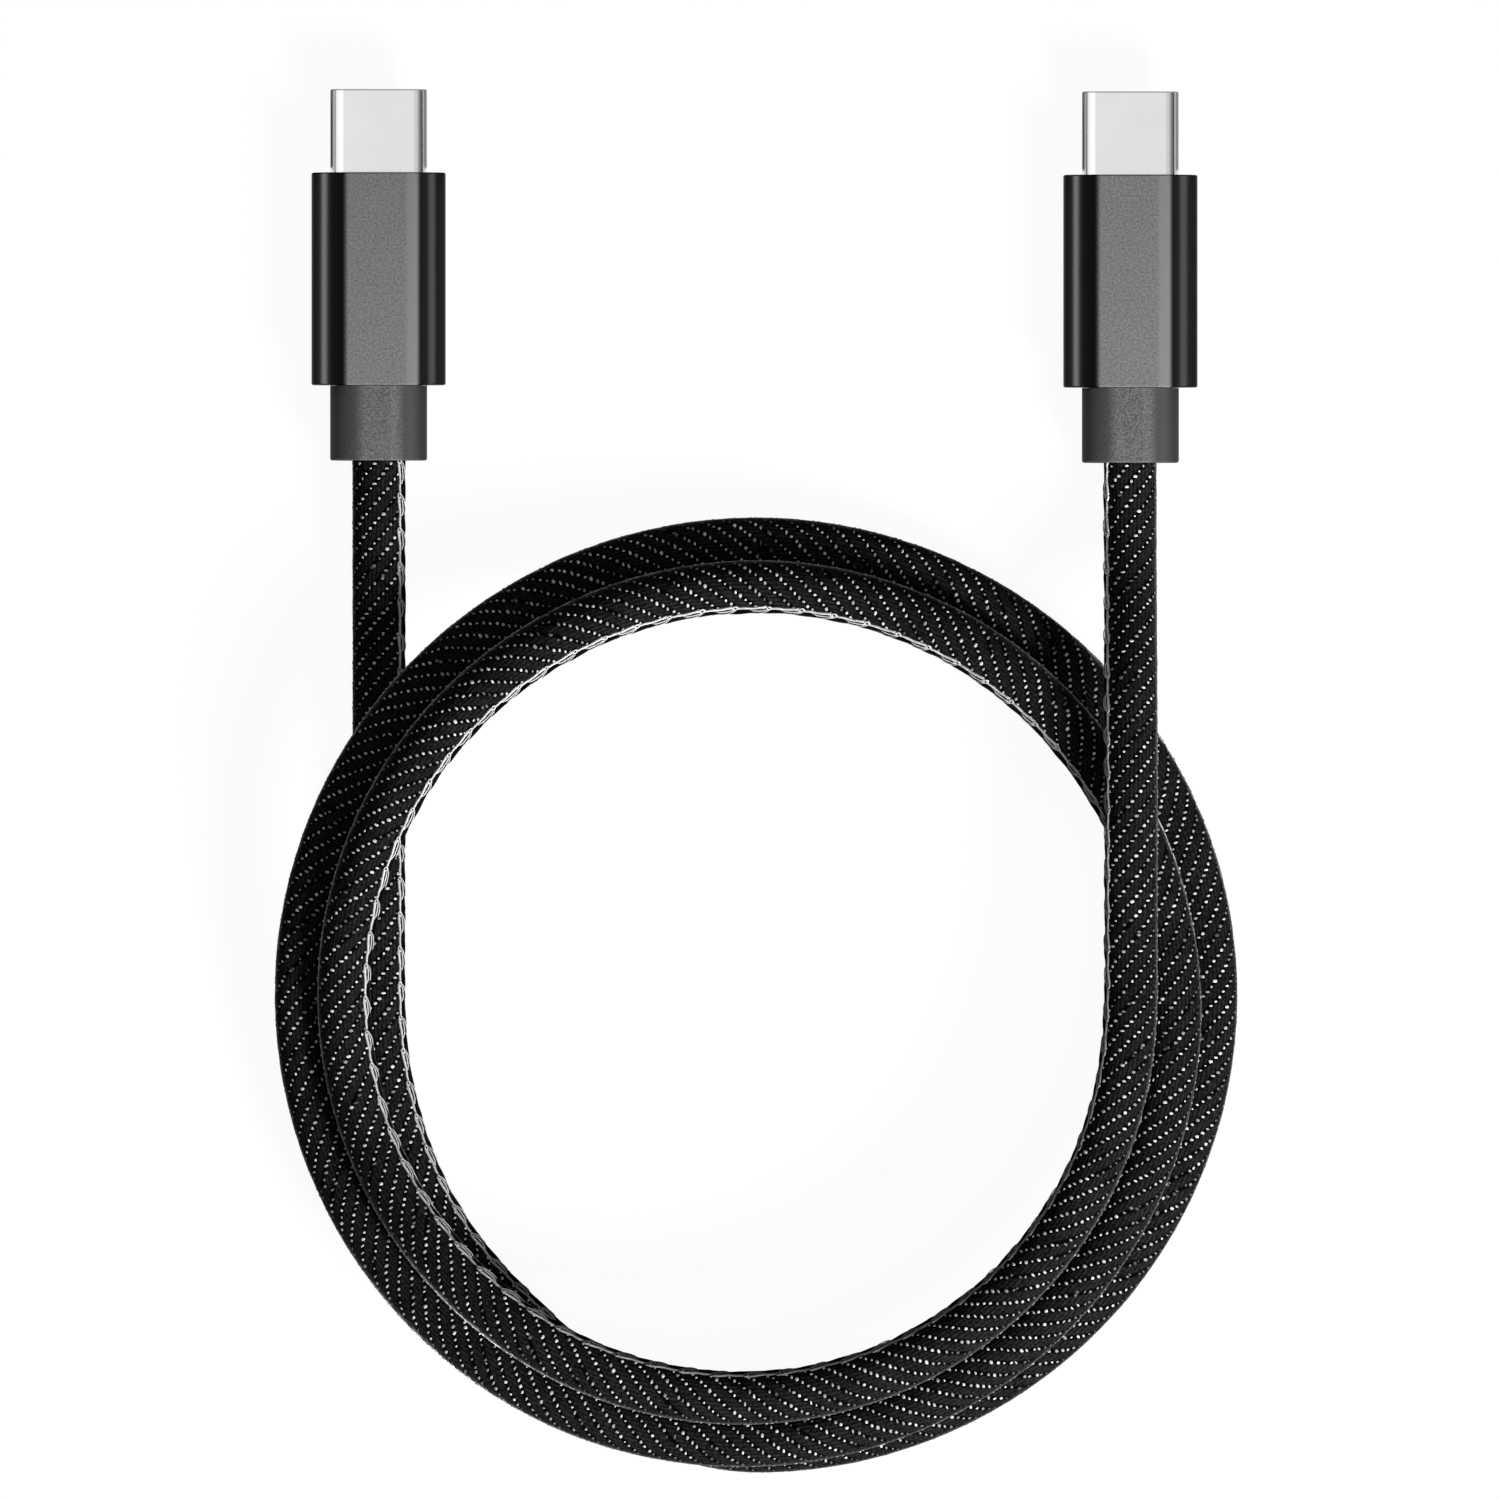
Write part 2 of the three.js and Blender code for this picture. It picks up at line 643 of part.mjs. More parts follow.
addStations(inLine(leftX, [[leftExit + jacketEnd, axisHeight]]), 'leftJacketEnd');

// At each station: the way along the cord, the way sideways (into the coil) and the way up.
const frames = stations.map((point, index) => {
  const before = stations[Math.max(index - 1, 0)];
  const after = stations[Math.min(index + 1, stations.length - 1)];
  const along = after.clone().sub(before).normalize();
  const sideways = along.clone().cross(new THREE.Vector3(0, 0, 1)).normalize();
  const up = sideways.clone().cross(along);
  return { point, sideways, up };
});

// A ring of points round a station, moved off the cord's own line by [sideways, up].
function cordRing({ point, sideways, up }, radius, sides, offset = [0, 0]) {
  const ring = [];
  for (let side = 0; side < sides; side += 1) {
    const angle = side * 2 * Math.PI / sides + Math.PI / 2;
    const across = offset[0] + radius * Math.cos(angle);
    const high = offset[1] + radius * Math.sin(angle);
    ring.push(point.clone().addScaledVector(sideways, across).addScaledVector(up, high));
  }
  return ring;
}

// A tube with open ends along part of the route.
function hollowTube(from, to, outside, inside, sides) {
  const stretch = frames.slice(mark[from], mark[to] + 1);
  const outer = stretch.map((frame) => cordRing(frame, outside, sides));
  const inner = stretch.map((frame) => cordRing(frame, inside, sides)).reverse();
  return skin([...outer, ...inner], true);
}

const coilSides = 6;
const tailSides = 8;
const wireSides = 4;
const coilFlat = Math.cos(Math.PI / coilSides); // where a flat of the six-sided tube lies, as a share
const tailFlat = Math.cos(Math.PI / tailSides);
const jacketInside = jacketRadius - jacketWall;
const bundleRadius = jacketInside * coilFlat - thickWire / 2 - fit;

// A sleeve's inside clears the jacket's corners, also where the jacket has fewer sides.
function tailSleeve(from, to) {
  return hollowTube(from, to, cordRadius, (jacketRadius + sleeveLooseness) / tailFlat, tailSides);
}

function coilSleeve() {
  const inside = jacketRadius + sleeveLooseness / coilFlat;
  return hollowTube('coilStart', 'coilEnd', cordRadius, inside, coilSides);
}

function jacket() {
  return hollowTube('rightJacketEnd', 'leftJacketEnd', jacketRadius, jacketInside, coilSides);
}

// A wire lies in its place in the jacket's bore and fans out to its pad on each board.
function wire({ diameter, pad, face }, number) {
  const angle = 2 * Math.PI * (number / wires.length) + Math.PI / 2;
  const inBundle = [-bundleRadius * Math.cos(angle), bundleRadius * Math.sin(angle)];
  const onPad = [pad, face * (boardThickness / 2 + fit + diameter / 2)];
  const ring = (frame, offset) => cordRing(frame, diameter / 2, wireSides, offset);
  const fan = [[boardRear + wireOnBoard, onPad], [padStart, onPad], [jacketEnd + fit, inBundle]];
  const inPlug = (frame, exit) => fan.map(([y, offset]) => {
    const point = new THREE.Vector3(frame.point.x, exit + y, axisHeight);
    return ring({ ...frame, point }, offset);
  });
  const atRight = inPlug(frames[0], rightExit);
  const atLeft = inPlug(frames[frames.length - 1], leftExit).reverse();
  const between = frames.slice(1, -1).map((frame) => ring(frame, inBundle));
  return skin([...atRight, ...between, ...atLeft], false);
}

// ---- Clear space along the cord, measured on points ----

function denseLine(list, parts) {
  const line = [];
  for (let index = 0; index < list.length - 1; index += 1) {
    for (let part = 0; part < parts; part += 1) {
      line.push(list[index].clone().lerp(list[index + 1], part / parts));
    }
  }
  return line;
}

function leastGap(line, lengthApart) {
  const run = [0];
  for (let index = 1; index < line.length; index += 1) {
    run.push(run[index - 1] + line[index].distanceTo(line[index - 1]));
  }
  let least = { gap: Infinity };
  for (let a = 0; a < line.length; a += 1) {
    for (let b = a + 1; b < line.length; b += 1) {
      if (run[b] - run[a] < lengthApart) continue;
      const gap = line[a].distanceTo(line[b]) - cordDiameter;
      if (gap < least.gap) least = { gap, a: line[a], b: line[b] };
    }
  }
  return { ...least, length: run[run.length - 1] };
}

const gapParts = 6; // points per station on the measured line
const farApart = 5 * cordDiameter; // along the cord, from where two places count as different strands
const place = (point) => `(${point.toArray().map((value) => value.toFixed(1)).join(', ')})`;

function printGap(name, list) {
  const found = leastGap(denseLine(list, gapParts), farApart);
  const between = `${place(found.a)} and ${place(found.b)}`;
  console.log(`${name}'s least gap to itself ${found.gap.toFixed(3)} mm, between ${between}`);
  return found.length;
}

printGap('coil', stations.slice(mark.coilStart, mark.coilEnd + 1));
const cordLength = printGap('cord', stations);
console.log(`cord's length between the jacket's ends ${cordLength.toFixed(1)} mm`);

// ---- Assembly ----

function named(name, geometry, material) {
  const mesh = new THREE.Mesh(geometry, material);
  mesh.name = name;
  return mesh;
}

// Turned half round about the plug's axis, for the pieces that face down.
function facingDown(geometry) {
  return geometry.clone().rotateY(Math.PI);
}

function plug(side, x, exit) {
  const group = new THREE.Group();
  const add = (name, geometry, material) => group.add(named(`${side}_${name}`, geometry, material));
  add('plug_shell', plugShell(), steel);
  add('contact_block', contactBlock(), blackPlastic);
  add('upper_contacts', contactRow(), gold);
  add('lower_contacts', facingDown(contactRow()), gold);
  add('latch_plate', latchPlate(), springSteel);
  add('upper_ground_spring', groundSpring(), springSteel);
  add('lower_ground_spring', facingDown(groundSpring()), springSteel);
  const boardSize = [boardWidth, boardFront - boardRear, boardThickness];
  add('board', block(boardSize, 0, boardRear, -boardThickness / 2), boardGreen);
  boardParts.forEach((each) => add(each.name, boardPart(each), finish(each.colour, 0.5, 0)));
  add('upper_shield', shield(), springSteel);
  add('lower_shield', facingDown(shield()), springSteel);
  add('crimp_ring', crimpRing(), springSteel);
  add('inner_mould', innerMould(), clearMould);
  add('nose_ring', noseRing(), blackPlastic);
  add('housing', housing(), anodised);
  add('collar', collar(), softPlastic);
  group.position.set(x, exit, axisHeight);
  return group;
}

const cable = new THREE.Group();
cable.add(plug('left', leftX, leftExit));
cable.add(plug('right', rightX, rightExit));
cable.add(named('right_tail_sleeve', tailSleeve('rightSleeveEnd', 'rightTailEnd'), fabric));
cable.add(named('coil_sleeve', coilSleeve(), fabric));
cable.add(named('left_tail_sleeve', tailSleeve('leftTailEnd', 'leftSleeveEnd'), fabric));
cable.add(named('cable_jacket', jacket(), rubber));
wires.forEach((each, number) => {
  cable.add(named(each.name, wire(each, number), finish(each.colour, 0.5, 0)));
});

export default cable;
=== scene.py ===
# A charging cable: two metal plugs on one fabric-wrapped cord, which lies in a loose coil.
# Lengths are in millimetres. MM turns them into metres where objects and nodes are made.
import math

import bpy
import numpy as np
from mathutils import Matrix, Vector


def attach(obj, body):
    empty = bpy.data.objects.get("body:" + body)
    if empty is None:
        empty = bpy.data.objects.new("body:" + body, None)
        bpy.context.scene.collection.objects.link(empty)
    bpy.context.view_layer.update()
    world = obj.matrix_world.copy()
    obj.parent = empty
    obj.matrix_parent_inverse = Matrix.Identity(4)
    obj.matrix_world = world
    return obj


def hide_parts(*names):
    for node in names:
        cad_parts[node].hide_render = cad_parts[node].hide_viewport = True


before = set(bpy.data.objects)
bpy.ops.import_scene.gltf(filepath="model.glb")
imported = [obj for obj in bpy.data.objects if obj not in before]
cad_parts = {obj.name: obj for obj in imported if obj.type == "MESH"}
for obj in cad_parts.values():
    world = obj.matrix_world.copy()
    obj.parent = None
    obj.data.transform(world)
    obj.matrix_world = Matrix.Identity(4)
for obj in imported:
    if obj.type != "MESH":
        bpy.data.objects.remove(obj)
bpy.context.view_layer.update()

MM = 0.001
FULL_TURN = 2 * math.pi

# ---- Where the plugs lie ----
PLUG_SPACING = 64.4
RIGHT_X, LEFT_X = PLUG_SPACING / 2, -PLUG_SPACING / 2
LEFT_EXIT, RIGHT_EXIT = -15.8, -16.0
AXIS_HEIGHT = 3.0
FIT = 0.05

# ---- The cord and its coil. Turns are counted from where the right plug's run joins the coil ----
CORD_DIAMETER = 4.54
CORD_RADIUS = CORD_DIAMETER / 2
FABRIC_RADIUS = 2.22
SLEEVE_IN_COLLAR = 5.7
RING_X, RING_Y = 0.15, -61.6
TURNS = 2.5
OUTER_RADIUS = 39.0
TURN_STEP = 3.7
BEND_IN_RADIUS = 34.8
SQUASH = 0.3
TURN_GAP = 0.5
LEAN_SPACING = 3.6
START_LIFT = 0.12
SETTLED_AT = 0.5
WIDEN_FROM, WIDEN_TO = 0.88, 1.38
UNDER_FROM, UNDER_TO = 2.25, 2.36
INWARD_FROM = 2.3
LIFT_UNTIL = 0.16
CLIMB_FROM, CLIMB_TO = 0.7, 1.25
DESCEND_FROM, ON_TABLE_FROM = 1.31, 1.5
CROSSING = ON_TABLE_FROM + math.acos((PLUG_SPACING / 2 + RING_X) / OUTER_RADIUS) / FULL_TURN
CROSSING_RISE = 1.05
CROSSING_BEFORE, CROSSING_AFTER = 0.18, 0.14
STUB_TOP = RING_Y + CORD_DIAMETER
COIL_STEPS = 96
SPLINE_STEP = 0.5
LINE_POINTS = 1400
SMOOTHINGS = 12

# The route between each plug and the coil, as (Y, height), in line with the plug.
RIGHT_RUN = [
    (-19.4, 3.02), (-22.6, 3.45), (-26.0, 4.7), (-29.5, 6.55), (-33.2, 8.6),
    (-37.0, 10.3), (-41.2, 11.35), (-45.4, 11.6), (-49.4, 11.4), (-52.6, 11.0),
]
LEFT_RUN = [
    (-51.6, 2.27), (-46.6, 2.27), (-41.6, 2.27), (-36.6, 2.27),
    (-31.8, 2.3), (-27.2, 2.45), (-23.0, 2.75), (-19.2, 2.98),
]


def smooth(low, high, at):
    """0 at low and 1 at high, with no kink at either."""
    share = np.clip((at - low) / (high - low), 0.0, 1.0)
    return share * share * (3 - 2 * share)


def settle(share):
    """0 to 1, fast at first and slower towards the end."""
    left = 1 - min(max(share, 0.0), 1.0)
    return 1 - left**4 * (1 + 4 * (1 - left))


def hump(at, top, before, after):
    """1 at the top and 0 that far before it and after it."""
    share = (at - top) / (before if at < top else after)
    return (1 + math.cos(math.pi * share)) / 2 if abs(share) < 1 else 0.0


def coil_radius(turn):
    start, end = PLUG_SPACING / 2 - RING_X, PLUG_SPACING / 2 + RING_X
    middle = OUTER_RADIUS - TURN_STEP
    to_middle = (middle - start) * settle(turn / SETTLED_AT)
    to_outer = TURN_STEP * smooth(WIDEN_FROM, WIDEN_TO, turn)
    under = (OUTER_RADIUS - BEND_IN_RADIUS) * smooth(UNDER_FROM, UNDER_TO, turn)
    inward = (BEND_IN_RADIUS - end) * smooth(INWARD_FROM, TURNS, turn)
    flattened = SQUASH * (1 - math.cos(2 * FULL_TURN * turn)) / 2
    return start + to_middle + to_outer - under - inward - flattened


def level(turn):
    """Height of a strand above the table, in strand spacings."""
    over_run = CROSSING_RISE * hump(turn, CROSSING, CROSSING_BEFORE, CROSSING_AFTER)
    if turn > ON_TABLE_FROM:
        return over_run
    lean = math.sqrt(1 - (LEAN_SPACING / (CORD_DIAMETER + TURN_GAP)) ** 2)
    resting = lean + (1 - lean) * smooth(CLIMB_FROM, CLIMB_TO, turn)
    across = resting * (1 - smooth(DESCEND_FROM, ON_TABLE_FROM, turn))
    return over_run + across + level(turn + 1) + START_LIFT * (1 - smooth(0, LIFT_UNTIL, turn))


def coil_point(turn):
    angle, radius = FULL_TURN * turn, coil_radius(turn)
    height = CORD_RADIUS + (CORD_DIAMETER + TURN_GAP) * level(turn)
    return (RING_X + radius * math.cos(angle), RING_Y - radius * math.sin(angle), height)


def step_lengths(points):
    return np.linalg.norm(np.diff(points, axis=0), axis=1)


def distances(points):
    """How far along a line each of its points lies."""
    return np.r_[0, np.cumsum(step_lengths(points))]


def resampled(points, along, count):
    """A line's points at even steps of the distance that along gives for each point."""
    at = np.linspace(0, along[-1], count)
    return np.stack([np.interp(at, along, points[:, axis]) for axis in range(3)], axis=1)


def bent_line(points):
    """A dense smooth line: a spline whose slope at a point comes from the points beside it."""
    points = np.array(points)
    slopes = np.gradient(points, distances(points), axis=0)
    dense = []
    for a, b, slope_a, slope_b in zip(points[:-1], points[1:], slopes[:-1], slopes[1:]):
        long = np.linalg.norm(b - a)
        for t in np.arange(0, 1, 1 / max(1, math.ceil(long / SPLINE_STEP))):
            at_a, leaving_a = 2 * t**3 - 3 * t**2 + 1, t**3 - 2 * t**2 + t
            at_b, nearing_b = -2 * t**3 + 3 * t**2, t**3 - t**2
            dense.append(at_a * a + leaving_a * long * slope_a
                         + at_b * b + nearing_b * long * slope_b)
    return np.array(dense + [points[-1]])


def cord_line():
    """The cord's centreline, from the right collar round the coil to the left collar."""
    right = [(RIGHT_EXIT + SLEEVE_IN_COLLAR, AXIS_HEIGHT), (RIGHT_EXIT, AXIS_HEIGHT), *RIGHT_RUN]
    left = [*LEFT_RUN, (LEFT_EXIT, AXIS_HEIGHT), (LEFT_EXIT + SLEEVE_IN_COLLAR, AXIS_HEIGHT)]
    stations = [(RIGHT_X, y, z) for y, z in right]
    stations.append((RIGHT_X, STUB_TOP, coil_point(0)[2]))
    stations += [coil_point(step / COIL_STEPS) for step in range(round(TURNS * COIL_STEPS) + 1)]
    stations.append((LEFT_X, STUB_TOP, coil_point(TURNS)[2]))
    stations += [(LEFT_X, y, z) for y, z in left]
    bent = bent_line(stations)
    even = resampled(bent, distances(bent), LINE_POINTS)
    for _ in range(SMOOTHINGS):
        even[1:-1] = (even[:-2] + 2 * even[1:-1] + even[2:]) / 4
    return even


def ways_along(points):
    """At each point: the way along the cord, the way sideways into the coil, and the way up."""
    along = np.gradient(points, axis=0)
    along /= np.linalg.norm(along, axis=1)[:, None]
    side = np.cross(along, [0, 0, 1])
    side /= np.linalg.norm(side, axis=1)[:, None]
    return along, side, np.cross(side, along)


def ways_round(side, up, angle):
    """At each angle from the top towards the coil's inside: the ways outward and on round."""
    sine, cosine = np.sin(angle)[:, None], np.cos(angle)[:, None]
    return sine * side + cosine * up, cosine * side - sine * up


line = cord_line()
cord_length = float(step_lengths(line).sum())
crest = (line + FABRIC_RADIUS * ways_along(line)[2])[:, :2]
seen_along = distances(crest)
seen_length = float(seen_along[-1])


def seen_evenly(count):
    """The cord's line at steps that are even from above, as its rows of weft and stitches are."""
    return resampled(line, seen_along, count)


# ---- Camera: straight down, from far enough that the view is nearly parallel ----
VIEW_WIDTH = 128.5 * MM
VIEW_X, VIEW_Y = -0.386 * MM, -40.6 * MM
CAMERA_HEIGHT = 3.0  # in metres
SENSOR_WIDTH = 36


def in_scene(name, data):
    """A new object with that data, in the scene."""
    made = bpy.data.objects.new(name, data)
    bpy.context.scene.collection.objects.link(made)
    return made


camera_data = bpy.data.cameras.new("camera")
camera_data.sensor_width = SENSOR_WIDTH
camera_data.lens = SENSOR_WIDTH * (CAMERA_HEIGHT - AXIS_HEIGHT * MM) / VIEW_WIDTH
camera = in_scene("camera", camera_data)
camera.location = (VIEW_X, VIEW_Y, CAMERA_HEIGHT)
bpy.context.scene.camera = camera


# ---- Nodes ----
class Value:
    """A socket of a node tree, with the operators of plain maths."""

    def __init__(self, nodes, socket):
        self.nodes, self.socket = nodes, socket

    def __add__(self, other):
        return self.nodes.math("ADD", self, other)

    __radd__ = __add__

    def __sub__(self, other):
        return self.nodes.math("SUBTRACT", self, other)

    def __rsub__(self, other):
        return self.nodes.math("SUBTRACT", other, self)

    def __mul__(self, other):
        return self.nodes.math("MULTIPLY", self, other)

    __rmul__ = __mul__

    def __truediv__(self, other):
        return self.nodes.math("DIVIDE", self, other)

    def __abs__(self):
        return self.nodes.math("ABSOLUTE", self)

    def cos(self):
        return self.nodes.math("COSINE", self)

    def fract(self):
        return self.nodes.math("FRACT", self)

    def over(self, low, high):
        """0 below low, 1 above high, and smooth between them."""
        sockets = {0: self, 1: low, 2: high, 3: 0.0, 4: 1.0}
        return self.nodes.add("ShaderNodeMapRange", {"interpolation_type": "SMOOTHSTEP"}, sockets)

    def within(self, rise_from, rise_to, fall_from, fall_to):
        """1 in a band and 0 outside it, with smooth edges."""
        return self.over(rise_from, rise_to) * (1 - self.over(fall_from, fall_to))


class Nodes:
    """A node tree, and the nodes that are used often."""

    def __init__(self, tree):
        self.tree = tree

    def add(self, kind, settings=None, sockets=None, out=0):
        """A new node with its settings and the values or links of its sockets. Gives its output, or
        a list of them where out is a tuple."""
        node = self.tree.nodes.new(kind)
        for name, value in (settings or {}).items():
            setattr(node, name, value)
        for key, value in (sockets or {}).items():
            if isinstance(value, Value):
                self.tree.links.new(value.socket, node.inputs[key])
            else:
                node.inputs[key].default_value = value
        if isinstance(out, tuple):
            return [Value(self, node.outputs[each]) for each in out]
        return Value(self, node.outputs[out]) if len(node.outputs) else None

    def math(self, operation, *values):
        return self.add("ShaderNodeMath", {"operation": operation}, dict(enumerate(values)))

    def mixed(self, low, high, share):
        """A colour from low to high."""
        low, high = [c if isinstance(c, Value) else (*c, 1.0) for c in (low, high)]
        return self.add("ShaderNodeMix", {"data_type": "RGBA"}, {0: share, 6: low, 7: high}, 2)

    def position(self):
        return self.add("ShaderNodeTexCoord", out="Object")

    def across_plug(self, axis_x, position):
        """How far a place lies to the right of a plug's axis, in millimetres."""
        return (self.add("ShaderNodeSeparateXYZ", {}, {0: position}) - axis_x * MM) * (1 / MM)

    def noise(self, scale, detail=2.0, at=None):
        sockets = {"Scale": scale, "Detail": detail, "Vector": at or self.position()}
        return self.add("ShaderNodeTexNoise", {}, sockets)

    def tone(self):
        """The tone that each point of a piece has been given."""
        return self.add("ShaderNodeAttribute", {"attribute_name": "tone"}, out="Fac")

    def bump(self, height, strength, distance):
        sockets = {"Height": height, "Strength": strength, "Distance": distance * MM}
        return self.add("ShaderNodeBump", {}, sockets)

    def matt(self, colour):
        return self.add("ShaderNodeBsdfDiffuse", {}, {"Color": colour})

    def rays(self):
        """1 for the rays that see a thing directly, in a mirror or through glass, and 1 for the
        rays in a mirror alone."""
        camera, glossy, through = self.add("ShaderNodeLightPath", out=(
            "Is Camera Ray", "Is Glossy Ray", "Is Transmission Ray"))
        return self.math("MAXIMUM", self.math("MAXIMUM", camera, glossy), through), glossy


def emptied(data):
    """The node tree of a material or a world, with nothing in it."""
    data.use_nodes = True
    data.node_tree.nodes.clear()
    return Nodes(data.node_tree)


def grey(value):
    return (value, value, value)


def material_of(name, shader):
    """A material whose shader function adds its nodes and gives the last one."""
    material = bpy.data.materials.new(name)
    nodes = emptied(material)
    nodes.add("ShaderNodeOutputMaterial", {}, {"Surface": shader(nodes)})
    return material


def finish_of(name, surface, **constants):
    """A material whose surface function gives the sockets that vary over the piece."""

    def shader(nodes):
        sockets = {key.replace("_", " "): value for key, value in constants.items()}
        return nodes.add("ShaderNodeBsdfPrincipled", {}, sockets | surface(nodes))

    return material_of(name, shader)


# ---- The fabric: a twill of dark warps with a white weft ----
WARPS = 38
WARP_ANGLE = FULL_TURN / WARPS
WEFT_EVERY = 4  # a row's dots are this many warps apart, and the next row's are one warp on
WEFT_ROWS = round(seen_length / 0.4275)
WEFT_SPACING = seen_length / (WEFT_ROWS - 1)
SEAM_ANGLE = math.radians(53)  # from the top of the cord towards the inside of the coil
SEAM_TWIST = math.radians(8)  # by the right plug the cord is turned this much further
TWIST_FROM, TWIST_TO = 0.08, 0.26
SLEEVE_INSIDE = 2.08
PAINTED_LIGHT_UNTIL = (24.0, 34.0)  # up to this far from the right plug, weft, thread and denim are paler, as painted light
PAINTED_LIGHT_SIDE = np.array([0.45, -0.89, 0.0])  # this way the seam is paler, as painted light, and the weft greyer, as painted shade
RIM_HIGHLIGHT_WARPS = (13.0, 14.2, 14.8, 15.8)  # the coil's outer side gets a paler stripe, a painted rim highlight

# The third denim colour is the painted rim highlight's.
DENIM_DARK, DENIM_PALE, DENIM_RIM_HIGHLIGHT = grey(0.0016), grey(0.018), grey(0.036)
FOLD_DARK, FOLD_PALE = grey(0.0012), grey(0.009)
YARN_DARK, WEFT_WHITE, THREAD_WHITE = grey(0.012), grey(0.68), grey(0.9)


def seam_angle(share):
    """Where the seam is, at a share of the way from the right plug to the left one."""
    return SEAM_ANGLE + SEAM_TWIST * (1 - smooth(TWIST_FROM, TWIST_TO, share))


def painted_light_by_right_plug(share):
    """Share of painted light: 1 by the right plug and 0 past its rise to the coil."""
    return 1 - smooth(*PAINTED_LIGHT_UNTIL, share * seen_length)


def denim_surface(nodes):
    """Dark warps, paler between the rows of weft as a painted sheen, in clouds and specks."""
    uv = nodes.add("ShaderNodeUVMap", {"uv_map": "weave"})
    along, warp = nodes.add("ShaderNodeSeparateXYZ", {}, {0: uv}, (0, 1))
    row = ((warp + along / WEFT_SPACING + 0.5) / WEFT_EVERY).fract()
    from_row = abs(row - 0.5) * 2  # 1 on a row of dots, 0 midway between two rows
    rib = (warp * FULL_TURN).cos() * -0.5 + 0.5
    position = nodes.position()
    cloud = nodes.noise(220.0, 3.0, position)
    grain = nodes.noise(4600.0, 3.0, position).over(0.3, 0.7)
    # Between the rows the warp floats get a painted sheen, spread in clouds and specks of random
    # tone.
    between_rows = (1 - from_row.over(0.45, 0.85)) * (0.35 + 0.65 * rib)
    # Painted light: the denim is paler by the right plug.
    painted_light_by_plug = 1.5 - 0.5 * along.over(*PAINTED_LIGHT_UNTIL)
    painted_sheen_and_light = between_rows * (0.35 + 0.9 * cloud) * (0.25 + 1.4 * grain) * painted_light_by_plug
    # A thin painted rim highlight along the coil's outer side.
    painted_rim = warp.within(*RIM_HIGHLIGHT_WARPS) * (0.3 + 0.5 * cloud + 0.4 * between_rows)
    colour = nodes.mixed(nodes.mixed(DENIM_DARK, DENIM_PALE, painted_sheen_and_light), DENIM_RIM_HIGHLIGHT, painted_rim)
    height = rib * 0.6 + grain * 0.3 - from_row.over(0.6, 0.95) * 0.5
    return {"Base Color": colour, "Normal": nodes.bump(height, 0.6, 0.05)}


def weft_surface(nodes):
    grain = nodes.noise(9000.0)
    colour = nodes.mixed(YARN_DARK, WEFT_WHITE, nodes.tone() * (0.75 + 0.5 * grain))
    return {"Base Color": colour, "Normal": nodes.bump(grain, 0.4, 0.03)}


def fold_surface(nodes):
    grain = nodes.noise(4200.0)
    colour = nodes.mixed(FOLD_DARK, FOLD_PALE, grain * nodes.noise(700.0).over(0.35, 0.75))
    return {"Base Color": colour, "Normal": nodes.bump(grain, 0.6, 0.06)}


def thread_surface(nodes):
    cloud = nodes.noise(400.0).over(0.3, 0.7)
    fibre = nodes.noise(7000.0, 3.0).over(0.25, 0.75)
    lit = nodes.tone() * (0.5 + 0.15 * cloud + 0.35 * fibre)
    colour = nodes.mixed(YARN_DARK, THREAD_WHITE, lit)
    return {"Base Color": colour, "Normal": nodes.bump(fibre, 0.5, 0.04)}


denim = finish_of("denim_twill", denim_surface, Roughness=0.9, Specular_IOR_Level=0.0,
                  Sheen_Weight=0.5, Sheen_Roughness=0.22)
weft = finish_of("white_weft", weft_surface, Roughness=0.8, Specular_IOR_Level=0.05)
fold_denim = finish_of("folded_denim", fold_surface, Roughness=0.9, Specular_IOR_Level=0.0,
                       Sheen_Weight=0.1, Sheen_Roughness=0.3)
thread = finish_of("seam_thread", thread_surface, Roughness=0.75, Specular_IOR_Level=0.1)


# ---- Meshes ----
def mesh_object(name, positions, faces, material, sharp=None):
    """An object from points in metres and faces, smooth but for edges over an angle of sharp."""
    mesh = bpy.data.meshes.new(name)
    mesh.from_pydata([tuple(p) for p in positions], [], [tuple(f) for f in faces])
    mesh.shade_smooth()
    if sharp is not None:
        mesh.set_sharp_from_angle(angle=math.radians(sharp))
    mesh.materials.append(material)
    return in_scene(name, mesh)


def set_attribute(mesh, name, values):
    """A number or a vector for each point of a mesh."""
    kind, field = ("FLOAT", "value") if values.ndim == 1 else ("FLOAT_VECTOR", "vector")
    attribute = mesh.attributes.new(name, kind, "POINT")
    attribute.data.foreach_set(field, values.astype(np.float32).ravel())


def turns_of(count, offset=0.0):
    """Even angles all the way round."""
    return (np.arange(count) + offset) * FULL_TURN / count


def grid_faces(rings, sides, closed_rings=False):
    """Faces between closed rings of points. The last ring is joined to the first one or not."""
    ring = np.arange(rings if closed_rings else rings - 1)[:, None]
    side = np.arange(sides)[None, :]
    turn, after = (side + 1) % sides, (ring + 1) % rings
    faces = [ring * sides + side, ring * sides + turn, after * sides + turn, after * sides + side]
    return np.stack(np.broadcast_arrays(*faces), axis=-1).reshape(-1, 4)


def end_faces(rings, sides):
    """The two faces that close a tube's ends."""
    last = (rings - 1) * sides
    return [tuple(range(sides - 1, -1, -1)), tuple(range(last, last + sides))]


def closed_tube(rings, sides):
    return [*grid_faces(rings, sides), *end_faces(rings, sides)]


def oval_tube(centre, across, outward, wide, high, sides):
    """Points of a tube round a line, with a half width and a half height for each ring."""
    turn = turns_of(sides)
    points = centre[:, None] + (wide[:, None] * np.cos(turn))[..., None] * across[:, None]
    points += (high[:, None] * np.sin(turn))[..., None] * outward[:, None]
    return points.reshape(-1, 3) * MM


